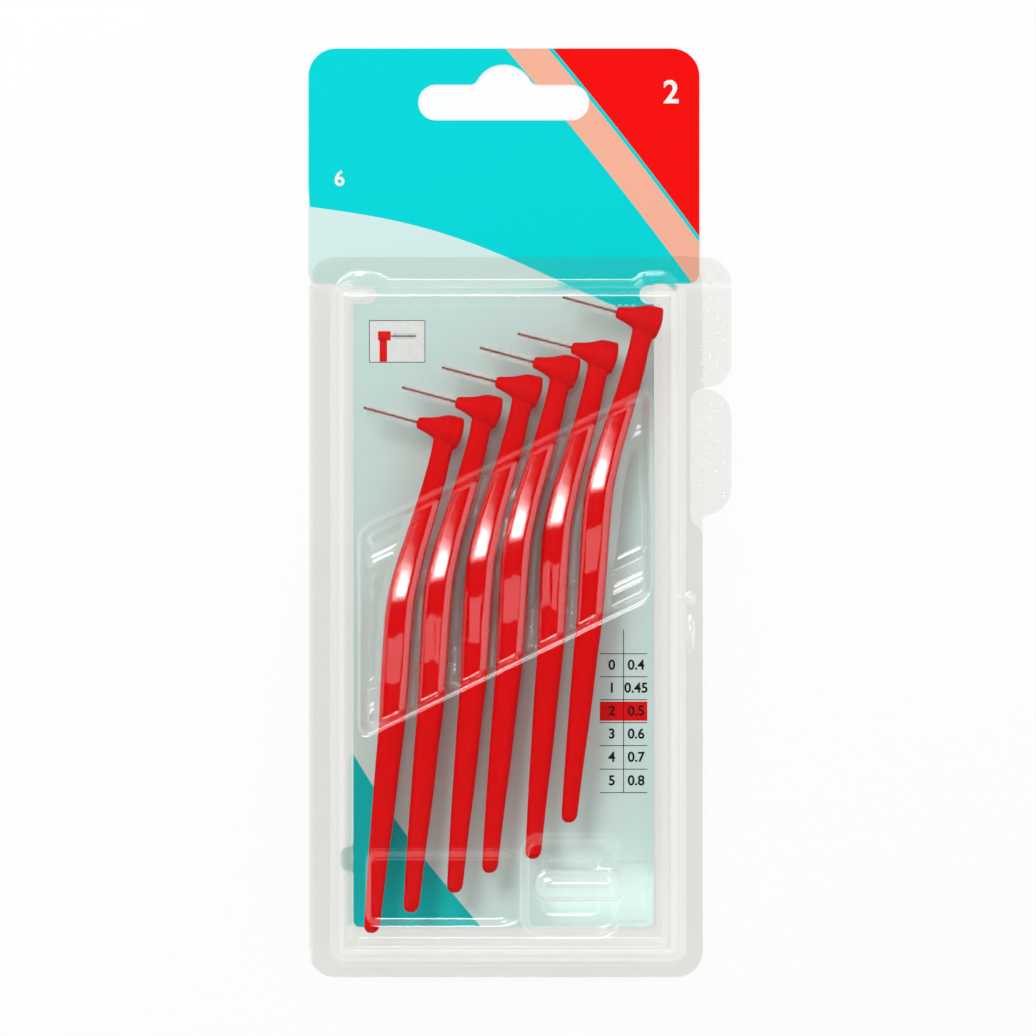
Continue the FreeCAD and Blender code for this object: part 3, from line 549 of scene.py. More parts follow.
@dataclass(frozen=True)
class TwistedSteel(Finish):
    """Drawn stainless steel wire under a red-brown coat: fine draw lines, satin shine."""

    name: str = "drawn_steel_wire"
    colour: str = "AC6054"
    line_size: float = 1 / 9

    def shade(self, tree: bpy.types.NodeTree, place: bpy.types.NodeSocket) -> bpy.types.Node:
        """Varies the shine along the draw lines.

        Args:
            tree: the material's tree.
            place: the place on the piece.
        Returns:
            The last shader node.
        """
        _, rough = mottle(tree, place, self.line_size, 2.0, 0.25, 0.42)
        return add_node(tree, "ShaderNodeBsdfPrincipled", inputs={
            "Base Color": linear(self.colour), "Metallic": 0.5, "Roughness": rough,
        })


@dataclass(frozen=True)
class TintedCoat(Finish):
    """Thin clear coating with a tint: the wire's twist shows through it."""

    name: str = "tinted_wire_coating"
    colour: str = "C0756C"
    see: str = "E9C8C2"
    body: float = 0.2
    stray: float = 0.1
    rough: float = 0.3
    cloud_size: float = 0.4
    detail: float = 2.0

    def shade(self, tree: bpy.types.NodeTree, place: bpy.types.NodeSocket) -> bpy.types.Node:
        """Mixes a tinted view through it with its own colour.

        Args:
            tree: the material's tree.
            place: the place on the piece.
        Returns:
            The last shader node.
        """
        _, share = mottle(
            tree, place, self.cloud_size, self.detail, self.body - self.stray, self.body + self.stray,
        )
        see = add_node(tree, "ShaderNodeBsdfTransparent", inputs={"Color": linear(self.see)})
        own = add_node(tree, "ShaderNodeBsdfPrincipled", inputs={
            "Base Color": linear(self.colour), "Roughness": self.rough,
        })
        return add_node(tree, "ShaderNodeMixShader", inputs={0: share, 1: see.outputs[0], 2: own.outputs[0]})


@dataclass(frozen=True)
class NylonFilament(TintedCoat):
    """Extruded nylon monofilament: milky, a little see-through."""

    name: str = "nylon_filament"
    colour: str = "FAFBFA"
    see: str = "FFFFFF"
    body: float = 0.85
    stray: float = 0.15
    rough: float = 0.4
    cloud_size: float = 1 / 3
    detail: float = 1.0


@dataclass(frozen=True)
class StudioPaper(Finish):
    """Matt white paper sweep: reads white to the eye and still takes the pack's shadow."""

    name: str = "white_studio_sweep"
    paper: str = "FDFDFD"
    glow: float = 0.75

    def shade(self, tree: bpy.types.NodeTree, place: bpy.types.NodeSocket) -> bpy.types.Node:
        """Mixes the paper with an even white for the eye, also through film and in gloss.

        Args:
            tree: the material's tree.
            place: the place on the piece; not used.
        Returns:
            The last shader node.
        """
        seen = seen_ways(tree, add_node(tree, "ShaderNodeLightPath"))
        share = add_node(tree, "ShaderNodeMath", {"operation": "MULTIPLY"}, {0: seen, 1: self.glow})
        paper = add_node(tree, "ShaderNodeBsdfDiffuse", inputs={"Color": linear(self.paper)})
        white = add_node(tree, "ShaderNodeEmission", inputs={"Color": linear("FFFFFF"), "Strength": 1.0})
        return add_node(tree, "ShaderNodeMixShader", inputs={
            0: share.outputs[0], 1: paper.outputs[0], 2: white.outputs[0],
        })


# Plan shapes


def box_distance(
    x: np.ndarray, y: np.ndarray, left: float, right: float, low: float, high: float, corner: float
) -> np.ndarray:
    """Signed distance to a rectangle with round corners, below nought inside.

    Args:
        x: places across.
        y: places up.
        left: its left side.
        right: its right side.
        low: its lower side.
        high: its upper side.
        corner: its corner radius.
    Returns:
        The distance at each place.
    """
    across = np.abs(x - (left + right) / 2) - (right - left) / 2 + corner
    up = np.abs(y - (low + high) / 2) - (high - low) / 2 + corner
    outside = np.hypot(np.maximum(across, 0.0), np.maximum(up, 0.0))
    return outside + np.minimum(np.maximum(across, up), 0.0) - corner


def soft_low(a: np.ndarray, b: np.ndarray, reach: float) -> np.ndarray:
    """The lower of two values, rounded where they meet over the reach."""
    share = np.clip(0.5 + 0.5 * (b - a) / reach, 0.0, 1.0)
    return b + (a - b) * share - reach * share * (1.0 - share)


@dataclass
class Raster:
    """A fine grid of heights over the plan, which can be softened and read anywhere."""

    left: float
    right: float
    low: float
    high: float
    pitch: float = 0.1

    def __post_init__(self) -> None:
        """Makes the grid's places."""
        across = np.arange(self.left, self.right + self.pitch, self.pitch)
        up = np.arange(self.low, self.high + self.pitch, self.pitch)
        self.x, self.y = np.meshgrid(across, up)

    def soften(self, heights: np.ndarray, spread: float) -> np.ndarray:
        """Rounds every edge of the heights.

        Args:
            heights: the heights on the grid.
            spread: how far, as the spread of a bell curve.
        Returns:
            The softened heights.
        """
        reach = int(math.ceil(3 * spread / self.pitch))
        steps = np.arange(-reach, reach + 1) * self.pitch
        bell = np.exp(-0.5 * (steps / spread) ** 2)
        bell /= bell.sum()
        for axis in (0, 1):
            pad = [(0, 0), (0, 0)]
            pad[axis] = (reach, reach)
            wide = np.pad(heights, pad, mode="edge")
            size = heights.shape[axis]
            heights = sum(w * np.take(wide, range(i, i + size), axis) for i, w in enumerate(bell))
        return heights

    def read(self, heights: np.ndarray, x: np.ndarray, y: np.ndarray) -> np.ndarray:
        """Reads the heights at any places.

        Args:
            heights: the heights on the grid.
            x: places across.
            y: places up.
        Returns:
            The height at each place.
        """
        across = np.clip((x - self.left) / self.pitch, 0, heights.shape[1] - 1.001)
        up = np.clip((y - self.low) / self.pitch, 0, heights.shape[0] - 1.001)
        column, row = across.astype(int), up.astype(int)
        a, b = across - column, up - row
        lower = heights[row, column] * (1 - a) + heights[row, column + 1] * a
        upper = heights[row + 1, column] * (1 - a) + heights[row + 1, column + 1] * a
        return lower * (1 - b) + upper * b


# Sizes shared with the solids


@dataclass(frozen=True)
class PackPlan:
    """Sides and levels of the case, as the solids have them."""

    film: float = 0.35
    card_top: float = 0.75
    left: float = -39.6
    right: float = 34.2
    low: float = -86.95
    high: float = 47.85
    corner: float = 5.0
    joggle: float = 42.45
    tab_right: float = 39.6
    tab_split: float = 23.15
    lower_tab_low: float = -0.45
    tab_corner: float = 5.2
    tab_root: float = 9.0
    relief: float = 2.3
    dome_left: float = -34.95
    dome_right: float = 30.45
    dome_low: float = -83.55
    dome_high: float = 42.95
    dome_deep: float = 13.0
    dome_inset: float = 1.2
    shoulder: float = 0.8
    pip_x: float = 31.9
    pip_y: tuple[float, float] = (-23.0, -16.1)


@dataclass(frozen=True)
class BrushPlan:
    """Places and sections of the brushes, as the solids have them."""

    x: float = -19.2
    y: float = 16.9
    level: float = 8.0
    pitch_x: float = 7.4
    pitch_y: float = 4.05
    long: float = 95.4
    lean: float = 8.47
    wide: float = 4.9
    thick: float = 4.7
    turn: float = -15.3
    steps: tuple = (
        (0.00, 0.00, 0.0), (0.97, 0.94, 0.1), (1.98, 1.87, 0.5),
        (2.93, 2.77, 0.2), (3.89, 3.44, 0.8), (5.02, 5.08, -0.2),
    )
    sections: tuple = (
        (0.019, 0.666, 1.00, 0.72), (0.034, 0.630, 0.94, 0.72), (0.054, 0.556, 0.83, 0.72),
        (0.113, 0.388, 0.85, 0.77), (0.191, 0.133, 0.92, 0.86), (0.269, -0.139, 1.01, 0.95),
        (0.347, -0.350, 1.08, 1.00), (0.426, -0.437, 1.09, 1.00), (0.505, -0.492, 1.07, 0.98),
        (0.583, -0.548, 1.01, 0.95), (0.681, -0.660, 0.93, 0.86), (0.780, -0.768, 0.85, 0.77),
        (0.880, -0.885, 0.73, 0.69), (0.984, -0.992, 0.61, 0.64),
    )

    def place(self, index: int) -> Matrix:
        """The place of a brush in the pack, in metres.

        Args:
            index: which brush.
        Returns:
            The turn and the shift from the brush's own origin.
        """
        across, up, degrees = self.steps[index]
        spot = Vector((self.x + across * self.pitch_x, self.y + up * self.pitch_y, self.level)) * MM
        return Matrix.Translation(spot) @ Matrix.Rotation(math.radians(degrees), 4, "Z")

    def track(self, index: int, y: np.ndarray) -> tuple[np.ndarray, np.ndarray]:
        """Where a brush's handle lies across the pack.

        Args:
            index: which brush.
            y: places up the pack.
        Returns:
            The middle and half width of its handle at each place.
        """
        across, up, degrees = self.steps[index]
        table = np.array(self.sections[2:])
        down = (self.y + up * self.pitch_y - y) / self.long
        down = np.clip(down, table[0, 0], table[-1, 0])
        middle = np.interp(down, table[:, 0], table[:, 1]) * self.lean
        half = np.interp(down, table[:, 0], table[:, 2]) * self.wide / 2
        start = self.x + across * self.pitch_x
        return start + middle + down * self.long * math.radians(degrees), half


PACK = PackPlan()
BRUSH = BrushPlan()


# Formed sheets


def spread_lines(*runs: tuple[float, float, float]) -> np.ndarray:
    """Grid lines for a formed sheet.

    Args:
        runs: start, end and spacing of each run, in order.
    Returns:
        The places of the lines.
    """
    lines: list[float] = []
    for start, end, step in runs:
        count = max(1, round((end - start) / step))
        lines.extend(np.linspace(start, end, count, endpoint=False))
    return np.array(lines + [runs[-1][1]])


def fit_grid(
    x: np.ndarray, y: np.ndarray, outline: Callable[[np.ndarray, np.ndarray], np.ndarray], rounds: int
) -> tuple[np.ndarray, np.ndarray, list]:
    """Keeps the faces of a grid inside an outline and moves the points beyond it onto it.

    Args:
        x: places across.
        y: places up.
        outline: signed distance to the outline, below nought inside.
        rounds: how often the points are moved.
    Returns:
        The moved places and the corner numbers of each face.
    """
    inside = outline(x, y) < -0.02
    keep = inside[:-1, :-1] | inside[1:, :-1] | inside[:-1, 1:] | inside[1:, 1:]
    tiny = 0.01
    for _ in range(rounds):
        away = outline(x, y)
        slope_x = (outline(x + tiny, y) - away) / tiny
        slope_y = (outline(x, y + tiny) - away) / tiny
        size = np.maximum(np.hypot(slope_x, slope_y), 0.3)
        shift = np.maximum(away, 0.0) / size
        x, y = x - shift * slope_x / size, y - shift * slope_y / size
    wide = x.shape[1]
    corners = [int(row) * wide + int(column) for row, column in zip(*np.nonzero(keep))]
    return x, y, [(at, at + 1, at + wide + 1, at + wide) for at in corners]


@dataclass
class FormedSheet:
    """A sheet of film formed to a height at each place in plan, and cut to an outline."""

    name: str
    columns: np.ndarray
    rows: np.ndarray
    material: bpy.types.Material
    slack: float = 0.02

    def warp(self, u: np.ndarray, v: np.ndarray) -> tuple[np.ndarray, np.ndarray]:
        """Bends the grid so that its lines run along the form."""
        return u, v

    def heights(self, raster: Raster) -> np.ndarray:
        """The height of the sheet's face on a fine grid."""
        raise NotImplementedError

    def outline(self, x: np.ndarray, y: np.ndarray) -> np.ndarray:
        """Signed distance to the sheet's outline."""
        raise NotImplementedError

    def blank(self, x: np.ndarray, y: np.ndarray, low: float, high: float, blend: float) -> np.ndarray:
        """Signed distance to the flange with a tab between two heights, rounded where they meet.

        Args:
            x: places across.
            y: places up.
            low: the tab's lower side.
            high: its upper side.
            blend: how far they are rounded.
        Returns:
            The distance at each place, below nought inside.
        """
        flange = box_distance(x, y, PACK.left, PACK.right, PACK.low, PACK.high, PACK.corner)
        tab = box_distance(x, y, PACK.right - PACK.tab_root, PACK.tab_right, low, high, PACK.tab_corner)
        return soft_low(flange, tab, blend)

    def raise_pips(
        self, raster: Raster, z: np.ndarray, reach: list[float], levels: list[float]
    ) -> np.ndarray:
        """Raises the snap pips, with their levels at each reach from their middle.

        Args:
            raster: the fine grid.
            z: the heights so far.
            reach: distances from a pip's middle.
            levels: its level at each.
        Returns:
            The heights with it.
        """
        for pip_y in PACK.pip_y:
            away = np.hypot(raster.x - PACK.pip_x, raster.y - pip_y)
            z = np.maximum(z, np.interp(away, reach, levels))
        return z

    def build(self) -> bpy.types.Object:
        """Builds the sheet with its thickness and returns it.

        Returns:
            The sheet's object.
        """
        raster = Raster(self.columns[0] - 1, self.columns[-1] + 1, self.rows[0] - 1, self.rows[-1] + 1)
        face = self.heights(raster)
        x, y, faces = fit_grid(*self.warp(*np.meshgrid(self.columns, self.rows)), self.outline, 3)
        verts = np.stack([x, y, raster.read(face, x, y)], -1).reshape(-1, 3)
        thing = make_object(self.name, verts, faces, self.material)
        edit_mesh(thing, drop_strays)
        thicken(thing, PACK.film - self.slack)
        shade_smooth(thing, 50.0)
        return thing


@dataclass
class FrontSheet(FormedSheet):
    """The hinged front: flange, finger tab, dome with its slanted bed, tray and blank panel."""

    bed_x: float = -2.7
    bed_y: float = -9.3
    bed_half_wide: float = 27.1
    bed_half_tall: float = 19.35
    bed_slope: float = 0.487
    bed_floor: float = 5.5
    bed_corner: float = 2.0
    bar_tall: float = 8.6
    bar_level: float = 8.6
    still_rows: tuple[float, float] = (-56.0, 37.0)
    still_columns: tuple[float, float] = (-31.6, 27.1)
    cover_gap: float = 0.6
    cover_shift: float = 0.15
    cover_crown: tuple = (
        (-1.08, 6.0), (-1.0, 3.0), (-0.93, 0.6), (-0.86, 0.1), (-0.5, 0.028), (0.0, 0.0), (0.36, 0.014),
        (0.8, 0.55), (0.88, 0.85), (1.0, 4.5), (1.08, 6.0),
    )
    cover_start: tuple[float, float] = (0.25, 2.62)
    cover_slopes: tuple = (
        (0.1, 0.2), (0.22, 0.6), (0.26, 1.8), (0.29, 3.3), (0.315, 4.9), (0.335, 5.2), (0.344, 3.6),
        (0.352, 0.4), (0.416, -0.4), (0.424, -3.2), (0.502, -3.3), (0.511, -0.6), (0.6, -0.8), (0.7, -1.2),
    )
    cover_stray: tuple = ((0.0055, 1.9, 1.1), (0.0035, 3.3, -0.8))
    stray_start: tuple[float, float] = (0.345, 0.375)
    cover_ripple: float = 0.004
    tray: tuple[float, float, float, float] = (1.05, 17.65, -78.2, -60.6)
    tray_corner: float = 2.6
    tray_level: float = 10.3
    arch: tuple[float, float] = (1.85, 18.3)
    arch_y: float = -69.4
    arch_level: float = 7.6
    arch_radius: float = 3.75
    pinch: tuple[float, float] = (5.05, 13.65)
    pinch_out: float = 4.0
    pinch_level: float = 6.6
    panel: tuple[float, float, float, float] = (-28.6, -1.2, -76.6, -63.2)
    panel_deep: float = 0.4
    set_back: float = 0.75
    soft: float = 0.24

    def warp(self, u: np.ndarray, v: np.ndarray) -> tuple[np.ndarray, np.ndarray]:
        """Runs the columns along the grips and the rows along the bed.

        Args:
            u: the grid's own columns.
            v: its own rows.
        Returns:
            Places across and up.
        """
        x, y = u.copy(), v.copy()
        for _ in range(6):
            x = self.columns_at(u, y)
            y = self.rows_at(v, x)
        return x, y

    def columns_at(self, u: np.ndarray, y: np.ndarray) -> np.ndarray:
        """Places of the columns at each height up the pack.

        Args:
            u: the grid's own columns.
            y: places up.
        Returns:
            Places across.
        """
        level = np.full(1, self.bed_y)
        first, last = self.still_columns
        marks, rest = [np.full_like(y, first)], [first]
        for index in range(len(BRUSH.steps)):
            middle, half = BRUSH.track(index, y)
            rest_y = level + self.bed_slope * (index - 2.5) * BRUSH.pitch_x
            rest_middle, rest_half = BRUSH.track(index, rest_y)
            for side in (-1, 0, 1):
                marks.append(middle + side * (half + self.cover_gap))
                rest.append(float(rest_middle[0] + side * (rest_half[0] + self.cover_gap)))
        marks.append(np.full_like(y, last))
        rest.append(last)
        x = u.copy()
        for step in range(len(rest) - 1):
            between = (u >= rest[step]) & (u <= rest[step + 1])
            share = (u - rest[step]) / (rest[step + 1] - rest[step])
            x = np.where(between, marks[step] + share * (marks[step + 1] - marks[step]), x)
        return x

    def rows_at(self, v: np.ndarray, x: np.ndarray) -> np.ndarray:
        """Places of the rows at each place across the pack.

        Args:
            v: the grid's own rows.
            x: places across.
        Returns:
            Places up.
        """
        rise = self.bed_slope * (np.clip(x, -31.0, 27.0) - self.bed_x)
        still_low, still_high = self.still_rows
        below = np.clip((v - still_low) / (self.bed_y - self.bed_half_tall - still_low), 0.0, 1.0)
        above = np.clip((still_high - v) / (still_high - self.bed_y - self.bed_half_tall), 0.0, 1.0)
        return v + rise * np.minimum(below, above)

    def outline(self, x: np.ndarray, y: np.ndarray) -> np.ndarray:
        """The flange with its upper tab, set back at the fold and beside the lower tab.

        Args:
            x: places across.
            y: places up.
        Returns:
            The distance at each place, below nought inside.
        """
        relief = box_distance(
            x, y, PACK.right - PACK.relief, PACK.right + PACK.tab_root,
            PACK.lower_tab_low - PACK.relief, PACK.tab_split, PACK.relief,
        )
        whole = self.blank(x, y, PACK.tab_split, PACK.high, 1.2)
        return np.maximum(-soft_low(-whole, relief, 1.6), PACK.left + self.set_back - x)

    def heights(self, raster: Raster) -> np.ndarray:
        """Flange, dome, bed, covers, tray and panel, in the order in which they are formed.

        Args:
            raster: the fine grid.
        Returns:
            The height of its upper face at each place.
        """
        x, y = raster.x, raster.y
        film = PACK.film
        flange = np.where(y > PACK.joggle, PACK.card_top + film, 2 * film)
        z = np.maximum(flange, self.dome(x, y))
        z = self.sink_bed(x, y, z)
        z = self.sink_tray(x, y, z)
        z = self.press_panel(x, y, z)
        z = raster.soften(z, self.soft)
        return self.raise_pips(raster, z, [0.0, 0.55, 0.8, 0.95], [1.42, 1.38, 1.05, 0.0])

    def dome(self, x: np.ndarray, y: np.ndarray) -> np.ndarray:
        """The dome with a bulge at each of its top corners.

        Args:
            x: places across.
            y: places up.
        Returns:
            Its height at each place.
        """
        base, knee = 2 * PACK.film, PACK.dome_deep - PACK.shoulder
        inset, top = PACK.dome_inset, PACK.dome_deep
        inner = -box_distance(x, y, PACK.dome_left, PACK.dome_right, PACK.dome_low, PACK.dome_high, 2.2)
        z = np.interp(inner, [0.0, inset, inset + PACK.shoulder], [base, knee, top])
        for middle in (-29.65, 25.15):
            ear = -box_distance(x, y, middle - 4.65, middle + 4.65, 37.05, 44.05, 3.2)
            z = np.maximum(z, np.interp(ear, [0.0, inset, inset + 0.6], [base, knee - 0.3, knee]))
        return z

    def sink_bed(self, x: np.ndarray, y: np.ndarray, z: np.ndarray) -> np.ndarray:
        """Sinks the slanted bed, with its bars and the covers over the grips.

        Args:
            x: places across.
            y: places up.
            z: the heights so far.
        Returns:
            The heights with it.
        """
        flat = 1.0 / math.hypot(1.0, self.bed_slope)
        lift = y - self.bed_y - self.bed_slope * (x - self.bed_x)
        ends = self.bed_half_wide - np.abs(x - self.bed_x)
        across = (self.bed_half_tall - np.abs(lift)) * flat
        round_off = self.bed_corner - np.hypot(
            np.maximum(self.bed_corner - across, 0.0), np.maximum(self.bed_corner - ends, 0.0),
        )
        inner = np.minimum(np.minimum(across, ends), round_off)
        top, foot = PACK.dome_deep, self.bed_floor
        upper = np.interp(inner, [-0.1, 0.85, 1.5], [top, top - 0.75, foot])
        lower = np.interp(inner, [-0.4, 0.4, 0.65, 1.15], [top, top - 0.24, top - 0.65, foot])
        pocket = np.where(lift < 0, lower, upper)
        band = (self.bed_half_tall - self.bar_tall - np.abs(lift)) * flat
        bar = np.interp(-band, [-0.6, 0.0], [foot, self.bar_level])
        ledge = np.interp(-band, [1.4, 2.2, 3.2, 4.0], [0.0, 0.6, 0.6, 0.0])
        pocket = np.where(inner > 0.85, np.maximum(pocket, bar - ledge), pocket)
        for index in range(len(BRUSH.steps)):
            pocket = np.where(inner > 0.85, np.maximum(pocket, self.cover(x, y, index)), pocket)
        return np.minimum(z, pocket)

    def cover(self, x: np.ndarray, y: np.ndarray, index: int) -> np.ndarray:
        """The height of the cover over one grip, with the small unevenness that formed film has.

        Args:
            x: places across.
            y: places up.
            index: which brush.
        Returns:
            Its height at each place, far below the film beside the grip.
        """
        middle, half = BRUSH.track(index, y)
        side = (x - middle - self.cover_shift) / (half + self.cover_gap)
        down = (BRUSH.y + BRUSH.steps[index][1] * BRUSH.pitch_y - y) / BRUSH.long
        stray = sum(size * np.sin(wave * x + turn * index) for size, wave, turn in self.cover_stray)
        stray = stray * np.interp(down, self.stray_start, [0.0, 1.0])
        level = BRUSH.level + self.cover_top(down + stray)
        level = level + self.cover_ripple * np.sin(1.25 * x + 0.7 * y + index) * np.sin(0.95 * y - 0.5 * x)
        return level - np.interp(side, *zip(*self.cover_crown))

    def cover_top(self, down: np.ndarray) -> np.ndarray:
        """The height of a cover over the brush's middle, from the slopes along it.

        Args:
            down: places along the brush, as shares of its length.
        Returns:
            The heights.
        """
        places, degrees = np.array(self.cover_slopes).T
        fine = np.linspace(places[0], places[-1], 1200)
        rises = np.tan(np.radians(np.interp(fine, places, degrees))) * BRUSH.long * (fine[1] - fine[0])
        tops = np.cumsum(rises)
        tops += self.cover_start[1] - np.interp(self.cover_start[0], fine, tops)
        return np.interp(down, fine, tops)

    def sink_tray(self, x: np.ndarray, y: np.ndarray, z: np.ndarray) -> np.ndarray:
        """Sinks the tray and raises the arch over the cap's tube.

        Args:
            x: places across.
            y: places up.
            z: the heights so far.
        Returns:
            The heights with it.
        """
        left, right, low, high = self.tray
        inner = -box_distance(x, y, left, right, low, high, self.tray_corner)
        tray = np.interp(inner, [0.0, 0.35, 1.0], [PACK.dome_deep, PACK.dome_deep - 0.3, self.tray_level])
        for side in (-1, 1):
            rib = box_distance(
                x, y, *self.pinch, self.arch_y + side * self.pinch_out - 0.3,
                self.arch_y + side * self.pinch_out + 0.3, 0.3,
            )
            tray = np.minimum(tray, np.interp(rib, [0.0, 0.5], [self.pinch_level, self.tray_level]))
        across = np.maximum(self.arch[0] + self.arch_radius - x, 0.0)
        off = np.hypot(across, y - self.arch_y)
        over = self.arch_level + np.sqrt(np.maximum(self.arch_radius ** 2 - off ** 2, 0.0))
        over = np.where((off < self.arch_radius) & (x < self.arch[1]), over, 0.0)
        return np.minimum(z, np.where(inner > 0, np.maximum(tray, over), PACK.dome_deep))

    def press_panel(self, x: np.ndarray, y: np.ndarray, z: np.ndarray) -> np.ndarray:
        """Presses the blank panel into the foot of the dome.

        Args:
            x: places across.
            y: places up.
            z: the heights so far.
        Returns:
            The heights with it.
        """
        left, right, low, high = self.panel
        inner = -box_distance(x, y, left, right, low, high, 2.0)
        return z - np.interp(inner, [0.0, 0.7], [0.0, self.panel_deep])


@dataclass
class BackSheet(FormedSheet):
    """The flat back with its lower finger tab and the rib that frames the card."""

    ring_wide: float = 2.9
    ring_high: float = 4.0
    ring_edge: float = 0.65
    hook_long: float = 7.1
    set_back: float = 0.36
    soft: float = 0.16

    def outline(self, x: np.ndarray, y: np.ndarray) -> np.ndarray:
        """The flange with its lower tab, set back at the fold.

        Args:
            x: places across.
            y: places up.
        Returns:
            The distance at each place, below nought inside.
        """
        whole = self.blank(x, y, PACK.lower_tab_low, PACK.tab_split, 1.0)
        return np.maximum(whole, PACK.left + self.set_back - x)

    def heights(self, raster: Raster) -> np.ndarray:
        """Flat sheet, rib and snap pips.

        Args:
            raster: the fine grid.
        Returns:
            The height of its upper face at each place.
        """
        x, y = raster.x, raster.y
        left, right = PACK.dome_left + self.ring_edge, PACK.dome_right - self.ring_edge
        low, high = PACK.dome_low + self.ring_edge, PACK.dome_high - self.ring_edge
        hollow = box_distance(
            x, y, left + self.ring_wide, right - self.ring_wide, low + self.ring_wide, high + 9.0, 1.0,
        )
        rib = np.minimum(-box_distance(x, y, left, right, low, high, 1.4), hollow)
        for start, end in ((left, left + self.hook_long), (right - self.hook_long, right)):
            rib = np.maximum(rib, -box_distance(x, y, start, end, high - self.ring_wide, high, 1.3))
        z = np.interp(rib, [0.0, 0.65], [PACK.film, self.ring_high])
        z = raster.soften(z, self.soft)
        return self.raise_pips(raster, z, [0.0, 0.3, 0.45], [0.95, 0.93, 0.0])


# Lines of the sheets' grids, close together on their walls and at the edges of the bed
FRONT_COLUMNS = spread_lines(
    (-39.0, -35.6, 0.85), (-35.6, -31.6, 0.25), (-31.6, -24.6, 0.42), (-24.6, 22.6, 0.4),
    (22.6, 27.1, 0.2), (27.1, 31.1, 0.25), (31.1, 33.1, 0.24), (33.1, 39.8, 0.6),
)
FRONT_ROWS = spread_lines(
    (-87.2, -84.2, 0.75), (-84.2, -80.2, 0.27), (-80.2, -59.0, 0.44), (-59.0, -31.5, 1.3),
    (-31.5, -26.5, 0.25), (-26.5, -17.5, 0.5), (-17.5, -2.0, 0.9), (-2.0, 6.5, 0.5), (6.5, 10.9, 0.25),
    (10.9, 36.5, 1.3), (36.5, 44.4, 0.29), (44.4, 48.1, 0.6),
)
BACK_COLUMNS = spread_lines(
    (-39.6, -34.8, 0.9), (-34.8, -31.0, 0.2), (-31.0, -27.0, 0.4), (-27.0, 22.5, 1.5), (22.5, 26.4, 0.4),
    (26.4, 30.2, 0.2), (30.2, 33.4, 0.25), (33.4, 39.8, 0.6),
)
BACK_ROWS = spread_lines(
    (-87.2, -83.4, 0.6), (-83.4, -78.8, 0.2), (-78.8, -24.6, 1.5), (-24.6, -14.6, 0.25),
    (-14.6, -1.6, 0.9), (-1.6, 26.0, 0.6), (26.0, 38.8, 1.2), (38.8, 42.8, 0.2), (42.8, 48.1, 0.6),
)


# Geometry trees


def start_tree(name: str, **sizes: str) -> tuple[bpy.types.NodeTree, bpy.types.NodeOutputs]:
    """Starts a geometry tree.

    Args:
        name: its name.
        sizes: the kind of each of its inputs, by name.
    Returns:
        The tree and the sockets of its inputs.
    """
    tree = bpy.data.node_groups.new(name, "GeometryNodeTree")
    tree.interface.new_socket("Geometry", in_out="OUTPUT", socket_type="NodeSocketGeometry")
    for size, kind in sizes.items():
        tree.interface.new_socket(size, in_out="INPUT", socket_type=f"NodeSocket{kind}")
    return tree, add_node(tree, "NodeGroupInput").outputs


def end_tree(
    tree: bpy.types.NodeTree, shape: bpy.types.NodeSocket, finish: bpy.types.Material
) -> bpy.types.NodeTree:
    """Ends a geometry tree in plain mesh with its finish, and returns it.

    Args:
        tree: the tree.
        shape: what it has made.
        finish: the finish.
    Returns:
        The tree.
    """
    real = add_node(tree, "GeometryNodeRealizeInstances", inputs={0: shape})
    dressed = add_node(tree, "GeometryNodeSetMaterial", inputs={
        "Geometry": real.outputs[0], "Material": finish,
    })
    add_node(tree, "NodeGroupOutput", inputs={0: dressed.outputs[0]})
    return tree


def run_tree(name: str, tree: bpy.types.NodeTree, values: dict) -> bpy.types.Object:
    """Runs a geometry tree and keeps its result as plain mesh.

    Args:
        name: the piece's name.
        tree: the tree.
        values: its inputs by name.
    Returns:
        The object.
    """
    thing = place_new(name, bpy.data.meshes.new(name))
    step = thing.modifiers.new("nodes", "NODES")
    step.node_group = tree
    for item in tree.interface.items_tree:
        if item.in_out == "INPUT" and item.name in values:
            step[item.identifier] = values[item.name]
    return bake_modifiers(thing)


